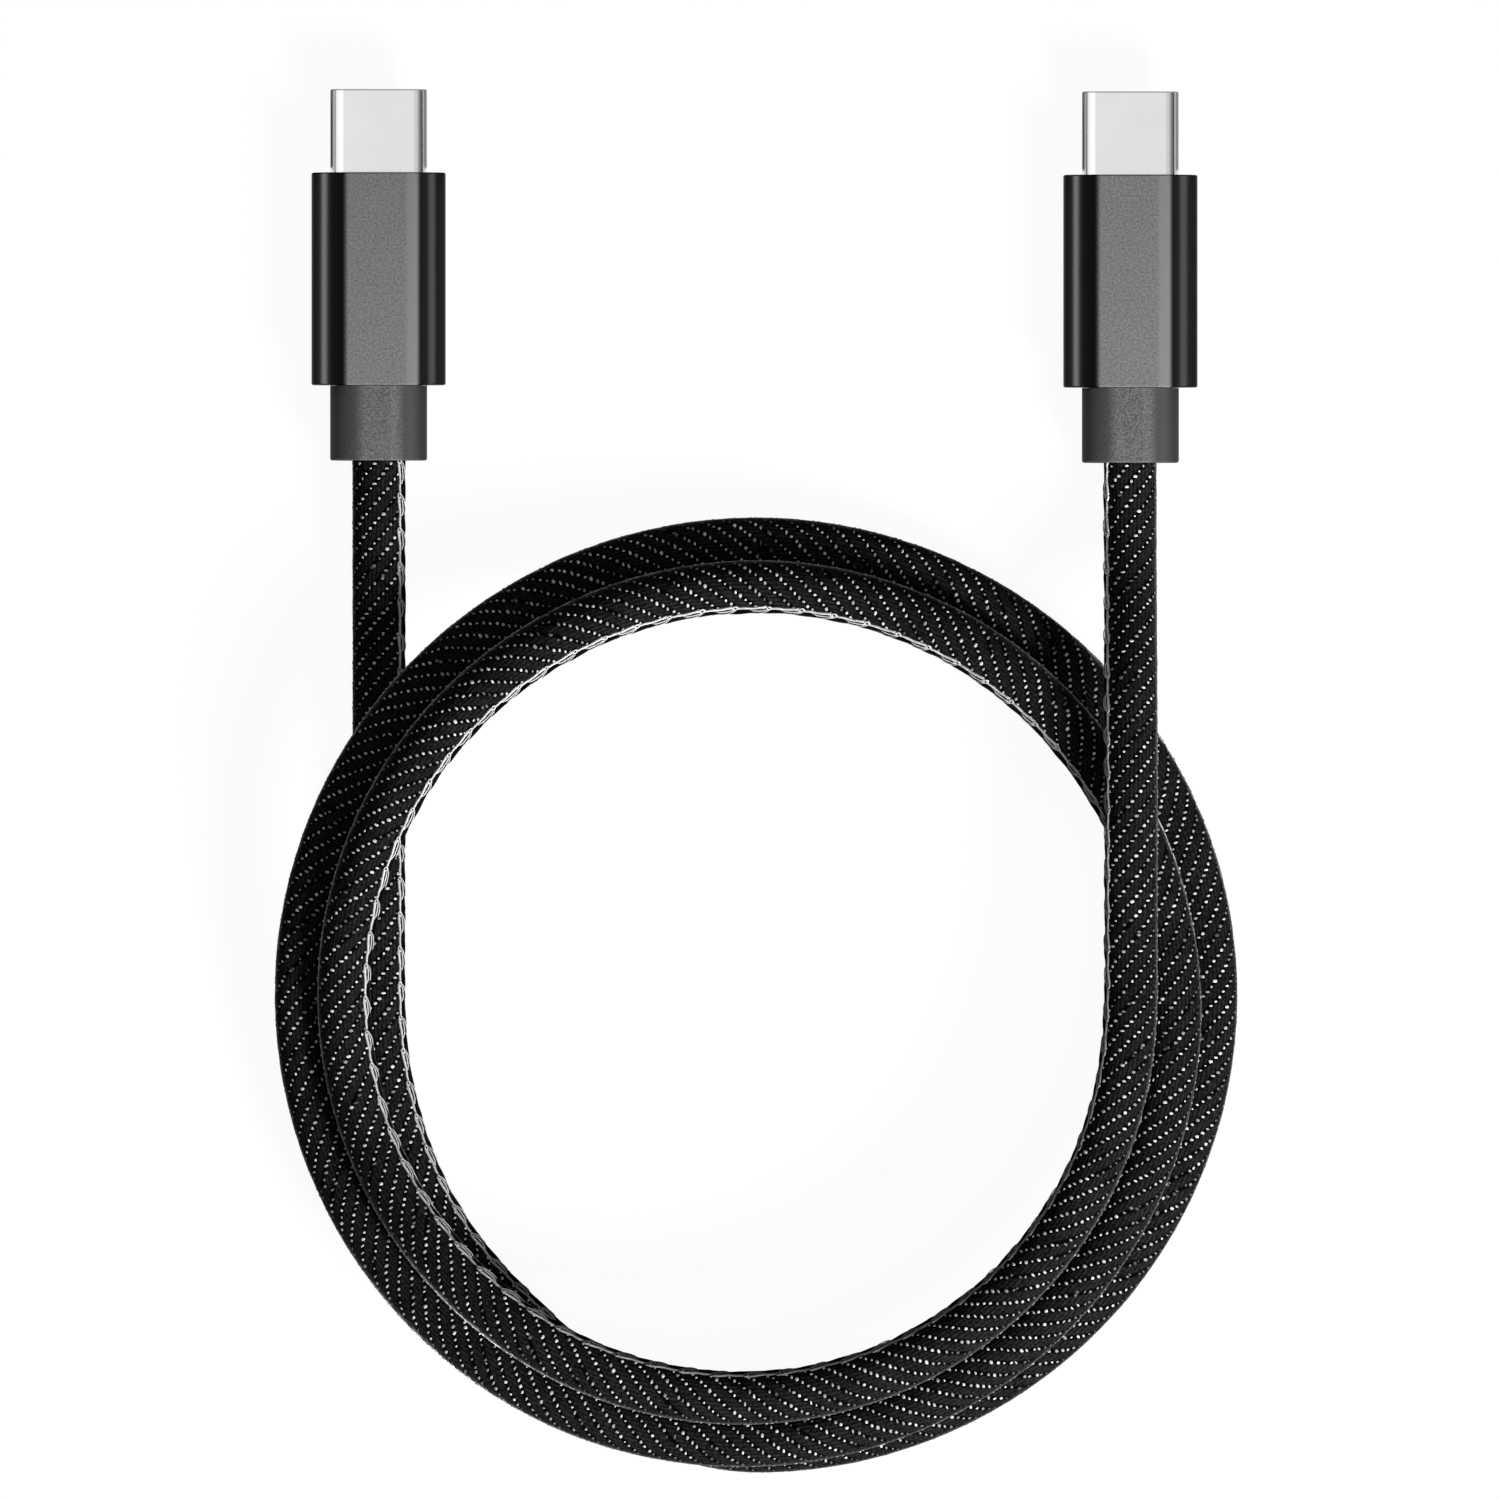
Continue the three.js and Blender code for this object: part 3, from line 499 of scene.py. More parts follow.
# ---- The woven sleeve ----
SLEEVE_RINGS = 800
INSIDE_EVERY = 4  # the inside needs only every fourth ring
RIB_HEIGHT, RIB_UNEVEN = 0.025, 0.014
SLEEVE_SEED = 2


def round_cord(points, angles, radius):
    """Rings of points round the cord, at angles from its top towards the coil's inside."""
    along, side, up = ways_along(points)
    across = np.sin(angles)[..., None] * side[:, None] + np.cos(angles)[..., None] * up[:, None]
    return points[:, None] + np.broadcast_to(radius, angles.shape)[..., None] * across


def lay_weave(mesh, warp):
    """UVs for the sleeve: millimetres along the cord, and warps from the seam."""
    sides = len(warp)
    at = np.zeros(len(mesh.loops), np.int32)
    mesh.loops.foreach_get("vertex_index", at)
    ring, side = at // sides, at % sides
    step = seen_length / (SLEEVE_RINGS - 1)
    last_column = side.reshape(-1, 4).max(axis=1).repeat(4) == sides - 1
    wraps = last_column & (side == 0)  # that column of faces ends at the last warp and not at 0
    along, across = np.minimum(ring, SLEEVE_RINGS - 1) * step, warp[side] + wraps * WARPS
    values = np.stack([along, across], axis=1)
    mesh.uv_layers.new(name="weave").data.foreach_set("uv", values.astype(np.float32).ravel())


def sleeve():
    """The woven sleeve, as a hollow tube whose warps stand out as fine ribs."""
    points = seen_evenly(SLEEVE_RINGS)
    sides = 2 * WARPS
    warp = np.arange(sides) / 2  # 0 at the seam, and whole numbers are the furrows
    angles = seam_angle(np.linspace(0, 1, SLEEVE_RINGS))[:, None] - warp * WARP_ANGLE
    uneven = np.random.default_rng(SLEEVE_SEED).normal(0, RIB_UNEVEN, (SLEEVE_RINGS, sides))
    ribbed = FABRIC_RADIUS + RIB_HEIGHT * (np.arange(sides) % 2) + uneven
    outer = round_cord(points, angles, ribbed)
    inner = round_cord(points, angles, SLEEVE_INSIDE)[::-1][::INSIDE_EVERY]
    shell = np.concatenate([outer, inner]).reshape(-1, 3) * MM
    faces = grid_faces(len(outer) + len(inner), sides, closed_rings=True)
    made = mesh_object("woven_sleeve", shell, faces, denim)
    lay_weave(made.data, warp)
    return made


woven_sleeve = sleeve()


# ---- What is laid along the cord: one small shape at many points, by one node tree ----
def laid_tree():
    """Copies of an object at points that say which way is outward and which way is along."""
    group = bpy.data.node_groups.new("laid_along_cord", "GeometryNodeTree")
    interface = group.interface
    for way in ("INPUT", "OUTPUT"):
        interface.new_socket("Geometry", in_out=way, socket_type="NodeSocketGeometry")
    inputs = {"Shape": "Object", "Smallest": "Vector", "Largest": "Vector", "Seed": "Int",
              "Finish": "Material"}
    for name, kind in inputs.items():
        interface.new_socket(name, in_out="INPUT", socket_type="NodeSocket" + kind)
    nodes = Nodes(group)
    geometry, shape, smallest, largest, seed, finish = nodes.add(
        "NodeGroupInput", out=tuple(range(1 + len(inputs))))
    vector = {"data_type": "FLOAT_VECTOR"}
    outward, forward = [
        nodes.add("GeometryNodeInputNamedAttribute", vector, {"Name": name}, "Attribute")
        for name in ("outward", "forward")]
    axes = {"primary_axis": "Z", "secondary_axis": "X"}
    turned = nodes.add("FunctionNodeAxesToRotation", axes, {0: outward, 1: forward})
    sizes = {0: smallest, 1: largest, "Seed": seed}
    size = nodes.add("FunctionNodeRandomValue", vector, sizes)
    model = nodes.add("GeometryNodeObjectInfo", {}, {"Object": shape}, "Geometry")
    laid = nodes.add("GeometryNodeInstanceOnPoints", {}, {
        "Points": geometry, "Instance": model, "Rotation": turned, "Scale": size})
    whole = nodes.add("GeometryNodeRealizeInstances", {}, {0: laid})
    finished = nodes.add("GeometryNodeSetMaterial", {}, {"Geometry": whole, "Material": finish})
    nodes.add("NodeGroupOutput", {}, {0: finished})
    return group


LAID = laid_tree()


def laid_along(name, laid_at, shape, smallest, largest, seed, material):
    """A plain mesh of the shape's copies. laid_at holds their places, the ways outward and along,
    and their tones. A copy's scale is a random one from smallest to largest."""
    places, outward, forward, tone = laid_at
    points = bpy.data.meshes.new(name + "_points")
    points.from_pydata([tuple(p) for p in places * MM], [], [])
    for key, values in (("outward", outward), ("forward", forward), ("tone", tone)):
        set_attribute(points, key, values)
    holder = in_scene(name + "_points", points)
    modifier = holder.modifiers.new("laid", "NODES")
    modifier.node_group = LAID
    inputs = {"Shape": shape, "Smallest": tuple(s * MM for s in smallest),
              "Largest": tuple(s * MM for s in largest), "Seed": seed, "Finish": material}
    for item in LAID.interface.items_tree:
        if item.name in inputs:
            modifier[item.identifier] = inputs[item.name]
    bpy.context.view_layer.update()
    evaluated = holder.evaluated_get(bpy.context.evaluated_depsgraph_get())
    mesh = bpy.data.meshes.new_from_object(evaluated)
    holder.modifiers.remove(modifier)
    bpy.data.objects.remove(holder)
    bpy.data.meshes.remove(points)
    mesh.name = name
    mesh.shade_smooth()
    return in_scene(name, mesh)


# ---- The weft's dots ----
DOT_SIDES = 6
DOT_PROFILE = ((0.9, -1.0), (1.0, 0.2), (0.72, 0.9))  # radius and height
DOT_SMALLEST, DOT_LARGEST = (0.09, 0.09, 0.035), (0.165, 0.225, 0.055)
DOT_HEIGHT = FABRIC_RADIUS + 0.012
DOT_TONES = (0.3, 1.0)
OPEN_WARPS = 34  # the folded edge covers the others
# On the coil's outer side the weft has painted shade: dim from one angle, clear from another.
PAINTED_SHADE_FROM, PAINTED_SHADE_TO = math.radians(-49), math.radians(-60)
CLEAR_FROM, CLEAR_TO = math.radians(-74), math.radians(-90)
PAINTED_SHADE_LOSS, THIN_LOSS = 0.84, 0.8
WEFT_PAINTED_LIGHT_BY_PLUG, PAINTED_LIGHT_SIDE_LOSS = 0.25, 0.28
TURN_SPREAD, SLIDE_SPREAD = (0.012, 0.045), (0.03, 0.09)  # where it is whole, and more where worn
WORN_SPACING = (3.5, 10.0)
WORN_RADIUS = (0.9, 1.6)
WORN_SEED, WEFT_SEED, FIRST_DOT_SEED = 21, 7, 3

weft_line = seen_evenly(WEFT_ROWS)
worn_generator = np.random.default_rng(WORN_SEED)
worn_at = np.cumsum(worn_generator.uniform(*WORN_SPACING, round(seen_length / WORN_SPACING[0])))
worn_angle = worn_generator.uniform(PAINTED_SHADE_TO, SEAM_ANGLE, len(worn_at))
worn_radius = worn_generator.uniform(*WORN_RADIUS, len(worn_at))


def worn(at, angle):
    """1 in the middle of a patch where the weft is worn thin, and 0 away from them."""
    round_it = (angle[:, None] - worn_angle) * FABRIC_RADIUS
    away = np.hypot(at[:, None] - worn_at, round_it) / worn_radius
    return np.exp(-(away.min(axis=1) ** 4))


def weft_dot():
    """One crossing of the weft: a low dome, which goes down into the fabric."""
    turn = turns_of(DOT_SIDES)
    rings = [np.stack([radius * np.cos(turn), radius * np.sin(turn), np.full(DOT_SIDES, z)], axis=1)
             for radius, z in DOT_PROFILE]
    faces = [*end_faces(len(rings), DOT_SIDES), *grid_faces(len(rings), DOT_SIDES)]
    return mesh_object("weft_dot", np.concatenate(rings), faces, weft)


def weft_rows(first, last):
    """The dots of those rows: places, ways outward, ways along and tones."""
    along, side, up = ways_along(weft_line)
    generator = np.random.default_rng(WEFT_SEED + first)
    rows = np.arange(first, last)
    in_row = WARPS // WEFT_EVERY + 1
    row = np.repeat(rows, in_row)
    warp = WEFT_EVERY * np.tile(np.arange(in_row), len(rows)) + WEFT_EVERY - 1 - row % WEFT_EVERY
    row, warp = row[warp < OPEN_WARPS], warp[warp < OPEN_WARPS]
    angle = seam_angle(row / (WEFT_ROWS - 1)) - (warp + 0.5) * WARP_ANGLE
    thin = worn(row * WEFT_SPACING, angle)
    angle = angle + generator.normal(0, 1, len(row)) * (TURN_SPREAD[0] + TURN_SPREAD[1] * thin)
    slide = generator.normal(0, 1, len(row)) * (SLIDE_SPREAD[0] + SLIDE_SPREAD[1] * thin)
    outward, _ = ways_round(side[row], up[row], angle)
    # Painted shade on the weft along the coil's outer side.
    painted_shade = smooth(PAINTED_SHADE_FROM, PAINTED_SHADE_TO, angle) * (1 - smooth(CLEAR_FROM, CLEAR_TO, angle))
    tone = generator.uniform(*DOT_TONES, len(row)) * (1 - THIN_LOSS * thin) * (1 - PAINTED_SHADE_LOSS * painted_shade)
    # Painted light: the weft is paler by the right plug.
    tone = tone * (1 + WEFT_PAINTED_LIGHT_BY_PLUG * painted_light_by_right_plug(row / (WEFT_ROWS - 1)))
    # Painted shade: the weft is greyer on the side that faces the coil's lower right.
    tone = tone * (1 - PAINTED_LIGHT_SIDE_LOSS * outward @ PAINTED_LIGHT_SIDE)
    places = weft_line[row] + DOT_HEIGHT * outward + slide[:, None] * along[row]
    return places, outward, along[row], tone


def weft_pieces(*names):
    """The cord's dots, from the right plug to the left one, in one piece for each name."""
    dot = weft_dot()
    ends = np.linspace(0, WEFT_ROWS, len(names) + 1).astype(int)
    made = [laid_along(name, weft_rows(first, last), dot, DOT_SMALLEST, DOT_LARGEST, seed, weft)
            for seed, (name, first, last) in enumerate(zip(names, ends, ends[1:]), FIRST_DOT_SEED)]
    bpy.data.objects.remove(dot)
    return made


weft_dots = weft_pieces("weft_dots_right", "weft_dots_upper_turn", "weft_dots_lower_turn",
                        "weft_dots_left")

# ---- The seam along the coil's inside: a thread, with a knot and two loose strands per stitch ----
STITCH = 2.985
FIRST_STITCH = 0.02  # from the left plug's exit
KNOTS_FROM = FIRST_STITCH + 0.001
KNOTS_UNTIL = seen_length - 2 * SLEEVE_IN_COLLAR + 0.5
KNOT_STEPS = 8000
# The seam's tone is painted light: paler on the side that faces the coil's lower right, and by the
# right plug.
SEAM_TONE, SEAM_PAINTED_LIGHT_BY_SIDE, SEAM_PAINTED_LIGHT_BY_PLUG = 0.52, 0.34, 1.8

THREAD_STEP, THREAD_SIDES = 0.2, 6
THREAD_RADIUS = 0.105
THREAD_HEIGHT = FABRIC_RADIUS + 0.075
THREAD_FLAT = 1.15  # it stands up at most this share of its plain radius
DIP_REACH, DIP_DEPTH, DIP_THINS = 0.2, 0.14, 0.65
LOOSE_FROM, LOOSE_REACH, LOOSE_THICKENS = 0.2, 0.9, 0.4
SET_OVER, SET_OVER_FROM = -0.2, 0.1
THICKNESS_WAVE, SIDEWAYS_WAVE = (0.1, 7.0), (0.025, 5.0)  # size and pace

FOLD_STEP, FOLD_SIDES = 0.4, 8
FOLD_PAST_SEAM = math.radians(22)
FOLD_CENTRE = 2.12
FOLD_HALF_WIDTH, FOLD_RADIUS = 0.5, 0.2
FOLD_TURNS, FOLD_SWELLS, FOLD_PUCKERS = 0.03, 0.06, 0.04
ROUGH_SPAN = 5
FOLD_SEED = 5


def past_stitch(count):
    """For even steps along the cord: how far each lies past a stitch, going to the right plug."""
    from_left = seen_length - SLEEVE_IN_COLLAR - np.linspace(0, seen_length, count)
    return (from_left - FIRST_STITCH) % STITCH


def seam_tone(side, share):
    """The thread's tone, as painted light, by the way it faces and by its place along the cord."""
    faced = SEAM_TONE + SEAM_PAINTED_LIGHT_BY_SIDE * side @ PAINTED_LIGHT_SIDE
    return faced * (1 + SEAM_PAINTED_LIGHT_BY_PLUG * painted_light_by_right_plug(share))


def seam_thread():
    """The thread: it dips into each knot, leaves it thicker and set over, and evens out."""
    count = round(seen_length / THREAD_STEP)
    past, share = past_stitch(count), np.linspace(0, 1, count)
    dip = np.exp(-((np.minimum(past, STITCH - past) / DIP_REACH) ** 4))
    loose = 1 - np.clip((past - LOOSE_FROM) / LOOSE_REACH, 0, 1)
    swell = THICKNESS_WAVE[0] * np.sin(past * THICKNESS_WAVE[1])
    wide = THREAD_RADIUS * ((1 + LOOSE_THICKENS * loose + swell) * (1 - DIP_THINS * dip))
    high = np.minimum(wide, THREAD_FLAT * THREAD_RADIUS)
    sway = SIDEWAYS_WAVE[0] * np.sin(past * SIDEWAYS_WAVE[1])
    arc = SET_OVER * loose * (past > SET_OVER_FROM) + sway
    path = seen_evenly(count)
    _, side, up = ways_along(path)
    outward, across = ways_round(side, up, seam_angle(share) + arc / FABRIC_RADIUS)
    centre = path + (THREAD_HEIGHT - DIP_DEPTH * dip)[:, None] * outward
    points = oval_tube(centre, across, outward, wide, high, THREAD_SIDES)
    made = mesh_object("seam_thread", points, closed_tube(count, THREAD_SIDES), thread)
    set_attribute(made.data, "tone", np.repeat(seam_tone(side, share), THREAD_SIDES))
    return made


def seam_fold():
    """The dark folded edge of the fabric that runs along the seam's inner side."""
    count = round(seen_length / FOLD_STEP)
    draws = np.random.default_rng(FOLD_SEED).normal(0, 1, count + ROUGH_SPAN - 1)
    rough = np.convolve(draws, np.ones(ROUGH_SPAN) / ROUGH_SPAN, "valid")
    path = seen_evenly(count)
    _, side, up = ways_along(path)
    angle = seam_angle(np.linspace(0, 1, count)) + FOLD_PAST_SEAM + FOLD_TURNS * rough
    outward, across = ways_round(side, up, angle)
    puckers = FOLD_PUCKERS * np.cos(past_stitch(count) * FULL_TURN / STITCH)
    high = FOLD_RADIUS + FOLD_SWELLS * rough + puckers
    wide = np.full(count, FOLD_HALF_WIDTH)
    points = oval_tube(path + FOLD_CENTRE * outward, across, outward, wide, high, FOLD_SIDES)
    return mesh_object("seam_fold", points, closed_tube(count, FOLD_SIDES), fold_denim)


# ---- The shapes of a stitch: x along the cord, y round it and z outward ----
KNOT_SHIFT = -0.1
KNOT_RADIUS, KNOT_TUBE, KNOT_HEIGHT = 0.185, 0.09, 0.13
KNOT_LONGER = 1.1
KNOT_AROUND, KNOT_SIDES = 10, 4
HOLE_SIDES = 6
HOLE_SIZE, HOLE_HEIGHTS = (0.11, 0.1), (-0.1, 0.15)
STRAND_SIDES = 5
# Along the cord, round it from the seam, and over the fabric.
OUTER_STRAND = [(0.0, 0.22, 0.13), (0.25, 0.44, 0.15), (0.6, 0.66, 0.16), (1.0, 0.86, 0.14),
                (1.35, 0.98, 0.1), (1.6, 1.03, 0.0)]
INNER_STRAND = [(0.15, 0.16, 0.12), (0.45, 0.28, 0.13), (0.85, 0.36, 0.13), (1.3, 0.42, 0.12),
                (1.7, 0.36, 0.02)]
STRANDS = ((OUTER_STRAND, 0.045), (INNER_STRAND, 0.06))
WHOLE = (1.0, 1.0, 1.0)
KNOT_SEED, STRAND_SEED = 11, 12


def stitch_hole():
    """The dark needle hole in the middle of a knot, as a small plug of fabric."""
    turn = turns_of(HOLE_SIDES)
    x, y = HOLE_SIZE[0] * np.cos(turn), HOLE_SIZE[1] * np.sin(turn) + KNOT_SHIFT
    rings = [np.stack([x, y, np.full(HOLE_SIDES, z)], axis=1) for z in HOLE_HEIGHTS]
    return np.concatenate(rings), [*end_faces(2, HOLE_SIDES), *grid_faces(2, HOLE_SIDES)]


def stitch_knot():
    """The loop of thread round a stitch's hole."""
    turn, cross = turns_of(KNOT_AROUND), turns_of(KNOT_SIDES)
    reach = KNOT_RADIUS + KNOT_TUBE * np.cos(cross)[None, :]
    x = reach * KNOT_LONGER * np.cos(turn)[:, None]
    y = reach * np.sin(turn)[:, None] + KNOT_SHIFT
    z = np.broadcast_to(KNOT_HEIGHT + KNOT_TUBE * np.sin(cross)[None, :], x.shape)
    points = np.stack([x, y, z], axis=-1).reshape(-1, 3)
    return points, grid_faces(KNOT_AROUND, KNOT_SIDES, closed_rings=True)


def on_cord(x, arc, height):
    """A point x along the cord, arc round it from the seam and height over the fabric."""
    angle, radius = arc / FABRIC_RADIUS, FABRIC_RADIUS + height
    return (x, radius * math.sin(angle), radius * math.cos(angle) - FABRIC_RADIUS)


def strand(route, radius):
    """A thin tube with closed ends."""
    points = np.array([on_cord(*place) for place in route])
    _, side, up = ways_along(points)
    turn = turns_of(STRAND_SIDES, 0.5)
    cosine, sine = np.cos(turn)[None, :, None], np.sin(turn)[None, :, None]
    rings = points[:, None] + radius * (cosine * side[:, None] + sine * up[:, None])
    return rings.reshape(-1, 3), closed_tube(len(points), STRAND_SIDES)


def stitch_strands():
    """Two fine strands that run from the knot over the cord's inner edge."""
    points, faces, start = [], [], 0
    for route, radius in STRANDS:
        strand_points, strand_faces = strand(route, radius)
        points.append(strand_points)
        faces += [tuple(corner + start for corner in face) for face in strand_faces]
        start += len(strand_points)
    return np.concatenate(points), faces


def stitches(name, form, smallest, largest, seed, material):
    """One piece with a copy of the form at each stitch."""
    at = np.arange(KNOTS_FROM, KNOTS_UNTIL, STITCH)
    fine = seen_evenly(KNOT_STEPS)
    share = (seen_length - SLEEVE_IN_COLLAR - at) / seen_length
    index = np.round(share * (KNOT_STEPS - 1)).astype(int)
    along, side, up = [way[index] for way in ways_along(fine)]
    outward, _ = ways_round(side, up, seam_angle(np.linspace(0, 1, KNOT_STEPS))[index])
    tone = seam_tone(side, index / (KNOT_STEPS - 1))
    shape = mesh_object("stitch", *form, material)
    laid_at = (fine[index] + FABRIC_RADIUS * outward, outward, -along, tone)
    made = laid_along(name, laid_at, shape, smallest, largest, seed, material)
    bpy.data.objects.remove(shape)
    return made


ON_CORD = [
    *weft_dots, seam_thread(), seam_fold(),
    stitches("seam_knots", stitch_knot(), (0.85, 0.85, 0.9), (1.15, 1.15, 1.1), KNOT_SEED, thread),
    stitches("seam_strands", stitch_strands(), (0.85, 0.92, 0.97), (1.15, 1.05, 1.0), STRAND_SEED,
             thread),
    stitches("seam_holes", stitch_hole(), WHOLE, WHOLE, KNOT_SEED, fold_denim),
]

# ---- The plugs' outer pieces: x across from the axis, y from the cord's exit, z from the axis ----
CORNER_STEPS = 24
EDGE_STEPS = 6
SHARP_OVER = 32  # degrees
SHELL = (8.25, 2.4)
SHELL_WALL, SHELL_SHOULDER, SHELL_EDGE = 0.2, 0.05, 0.15
HOUSING, HOUSING_CORNER, HOUSING_EDGE = (11.5, 6.0), 2.65, 0.15
CAVITY, CAVITY_CORNER = (10.3, 4.8), 2.05
COLLAR, COLLAR_CORNER, COLLAR_EDGE = (8.3, 5.4), 2.3, 0.2
NECK = (7.1, 4.3)
HOUSING_REAR, HOUSING_FRONT, TIP = 6.45, 24.65, 31.8
WALL_FRONT = HOUSING_REAR + 0.8
FLANGE_REAR, FLANGE_FRONT = 7.3, 8.8
NOSE_REAR, NOSE_FRONT = 23.6, 24.5
SHELL_REAR = 21.0
SLEEVE_SHOULDER = 6.0
JACKET_BORE = 1.75
OVAL_FLAT = 0.02


def ring_at(y, size, corner, inset=0.0):
    """A rounded rectangle round the axis, as a ring of points."""
    quarter = np.linspace(0, math.pi / 2, CORNER_STEPS + 1)
    turn = np.concatenate([quarter + k * math.pi / 2 for k in range(4)])
    side_x = np.repeat([1, -1, -1, 1], CORNER_STEPS + 1)
    side_z = np.repeat([1, 1, -1, -1], CORNER_STEPS + 1)
    radius = corner - inset
    x = side_x * (size[0] / 2 - corner) + radius * np.cos(turn)
    z = side_z * (size[1] / 2 - corner) + radius * np.sin(turn)
    return np.stack([x, np.full(len(x), y), z], axis=1)


def oval_at(y, size, inset=0.0):
    return ring_at(y, size, size[1] / 2 - OVAL_FLAT, inset)


def round_at(y, radius):
    return oval_at(y, (2 * radius, 2 * radius))


def cavity_at(y, inset=0.0):
    return ring_at(y, CAVITY, CAVITY_CORNER, inset)


def rounded_end(ring, y, edge, inwards):
    """Rings of an end with a rounded edge, from the end's face to the full size."""
    turn = np.linspace(0, math.pi / 2, EDGE_STEPS + 1)
    return [ring(y + inwards * edge * (1 - math.cos(t)), inset=edge * (1 - math.sin(t)))
            for t in turn]


def body_of(rings):
    """Points and faces of a body whose rings lead over its outside and back through its inside."""
    return np.concatenate(rings), grid_faces(len(rings), len(rings[0]), closed_rings=True)


def housing_form():
    def outer(y, inset=0.0):
        return ring_at(y, HOUSING, HOUSING_CORNER, inset)

    opening = (NECK[0] + 2 * FIT, NECK[1] + 2 * FIT)
    return body_of([
        *rounded_end(outer, HOUSING_REAR, HOUSING_EDGE, 1),
        *rounded_end(outer, HOUSING_FRONT, HOUSING_EDGE, -1)[::-1],
        cavity_at(HOUSING_FRONT), cavity_at(WALL_FRONT),
        oval_at(WALL_FRONT, opening), oval_at(HOUSING_REAR, opening),
    ])


def collar_form():
    def outer(y, inset=0.0):
        return ring_at(y, COLLAR, COLLAR_CORNER, inset)

    front = HOUSING_REAR - FIT
    return body_of([
        *rounded_end(outer, 0, COLLAR_EDGE, 1), outer(front),
        oval_at(front, NECK), oval_at(FLANGE_REAR, NECK),
        cavity_at(FLANGE_REAR, FIT), cavity_at(FLANGE_FRONT, FIT),
        round_at(FLANGE_FRONT, JACKET_BORE), round_at(SLEEVE_SHOULDER, JACKET_BORE),
        round_at(SLEEVE_SHOULDER, CORD_RADIUS + 2 * FIT), round_at(0, CORD_RADIUS + 2 * FIT),
    ])


def shell_form():
    def outer(y, inset=0.0):
        return oval_at(y, SHELL, inset)

    return body_of([
        outer(SHELL_REAR, SHELL_SHOULDER), outer(HOUSING_FRONT + FIT, SHELL_SHOULDER),
        outer(HOUSING_FRONT + FIT), *rounded_end(outer, TIP, SHELL_EDGE, -1)[::-1],
        outer(TIP, SHELL_WALL), outer(SHELL_REAR, SHELL_WALL),
    ])


def nose_form():
    hole = (SHELL[0] - 2 * SHELL_SHOULDER + 2 * FIT, SHELL[1] - 2 * SHELL_SHOULDER + 2 * FIT)
    return body_of([
        cavity_at(NOSE_REAR, FIT), cavity_at(NOSE_FRONT, FIT),
        oval_at(NOSE_FRONT, hole), oval_at(NOSE_REAR, hole),
    ])


# ---- The plugs' finishes. Places across a plug are from its axis, to the right ----
# The matt band fades in slowly on the left, as painted shade, and a painted highlight lies along
# its right edge.
HOUSING_BAND = ((-3.2, -2.5), (3.2, 3.65))
HOUSING_HIGHLIGHT = (2.2, 2.65)
HOUSING_MATT, HOUSING_HIGHLIGHT_TONE = (grey(0.104), grey(0.213)), grey(0.2)
# The polished sides carry painted shade towards the band on the left and painted light on the
# right.
POLISHED_LEFT_SHADE, POLISHED_LEFT_SHADE_AT = (grey(0.0105), grey(0.0045)), (-4.8, -3.8)
POLISHED_RIGHT_LIGHT, POLISHED_RIGHT_LIGHT_AT = grey(0.016), (0.0, 1.0)
POLISHED_RIM, POLISHED_RIM_AT = grey(0.012), (5.5, 5.75)
# The collar's paler middle band is a painted highlight, and its sides darken to both edges as
# painted shade, most at the left.
COLLAR_HIGHLIGHT_BAND = (-2.15, -1.0, 1.6, 2.4)
COLLAR_LINE = (0.9, 1.2, 1.5, 1.9)
COLLAR_FLAT = (grey(0.054), grey(0.166))
COLLAR_LEFT_SHADE, COLLAR_LEFT_SHADE_AT = (grey(0.008), grey(0.056)), (-4.1, -3.2)
COLLAR_RIGHT_SHADE, COLLAR_RIGHT_SHADE_AT = (grey(0.06), grey(0.014)), (2.7, 4.0)
STEEL = (grey(0.70), grey(0.80))
BRUSHED_ALONG = (1.0, 0.08, 1.0)


def housing_surface(axis_x):
    """Dark polished sides with painted shade and light, a matt grainy band above and below, and a
    painted highlight as a lighter strip at its edge.
    """

    def surface(nodes):
        position = nodes.position()
        across = nodes.across_plug(axis_x, position)
        left_edge = across.over(*HOUSING_BAND[0])
        band = left_edge * left_edge * (1 - across.over(*HOUSING_BAND[1]))
        grain = nodes.noise(5500.0, 3.0, position).over(0.25, 0.75)
        cloud = nodes.noise(350.0, 2.0, position)
        matt = nodes.mixed(*HOUSING_MATT, grain * 0.85 + cloud * 0.15)
        matt = nodes.mixed(matt, HOUSING_HIGHLIGHT_TONE, across.over(*HOUSING_HIGHLIGHT))
        # Painted shade on the left polished side, painted light on the right one.
        polished = nodes.mixed(*POLISHED_LEFT_SHADE, across.over(*POLISHED_LEFT_SHADE_AT))
        polished = nodes.mixed(polished, POLISHED_RIGHT_LIGHT, across.over(*POLISHED_RIGHT_LIGHT_AT))
        polished = nodes.mixed(polished, POLISHED_RIM, abs(across).over(*POLISHED_RIM_AT))
        return {"Base Color": nodes.mixed(polished, matt, band), "Metallic": 1 - band,
                "Normal": nodes.bump(grain * band, 0.25, 0.03)}

    return surface


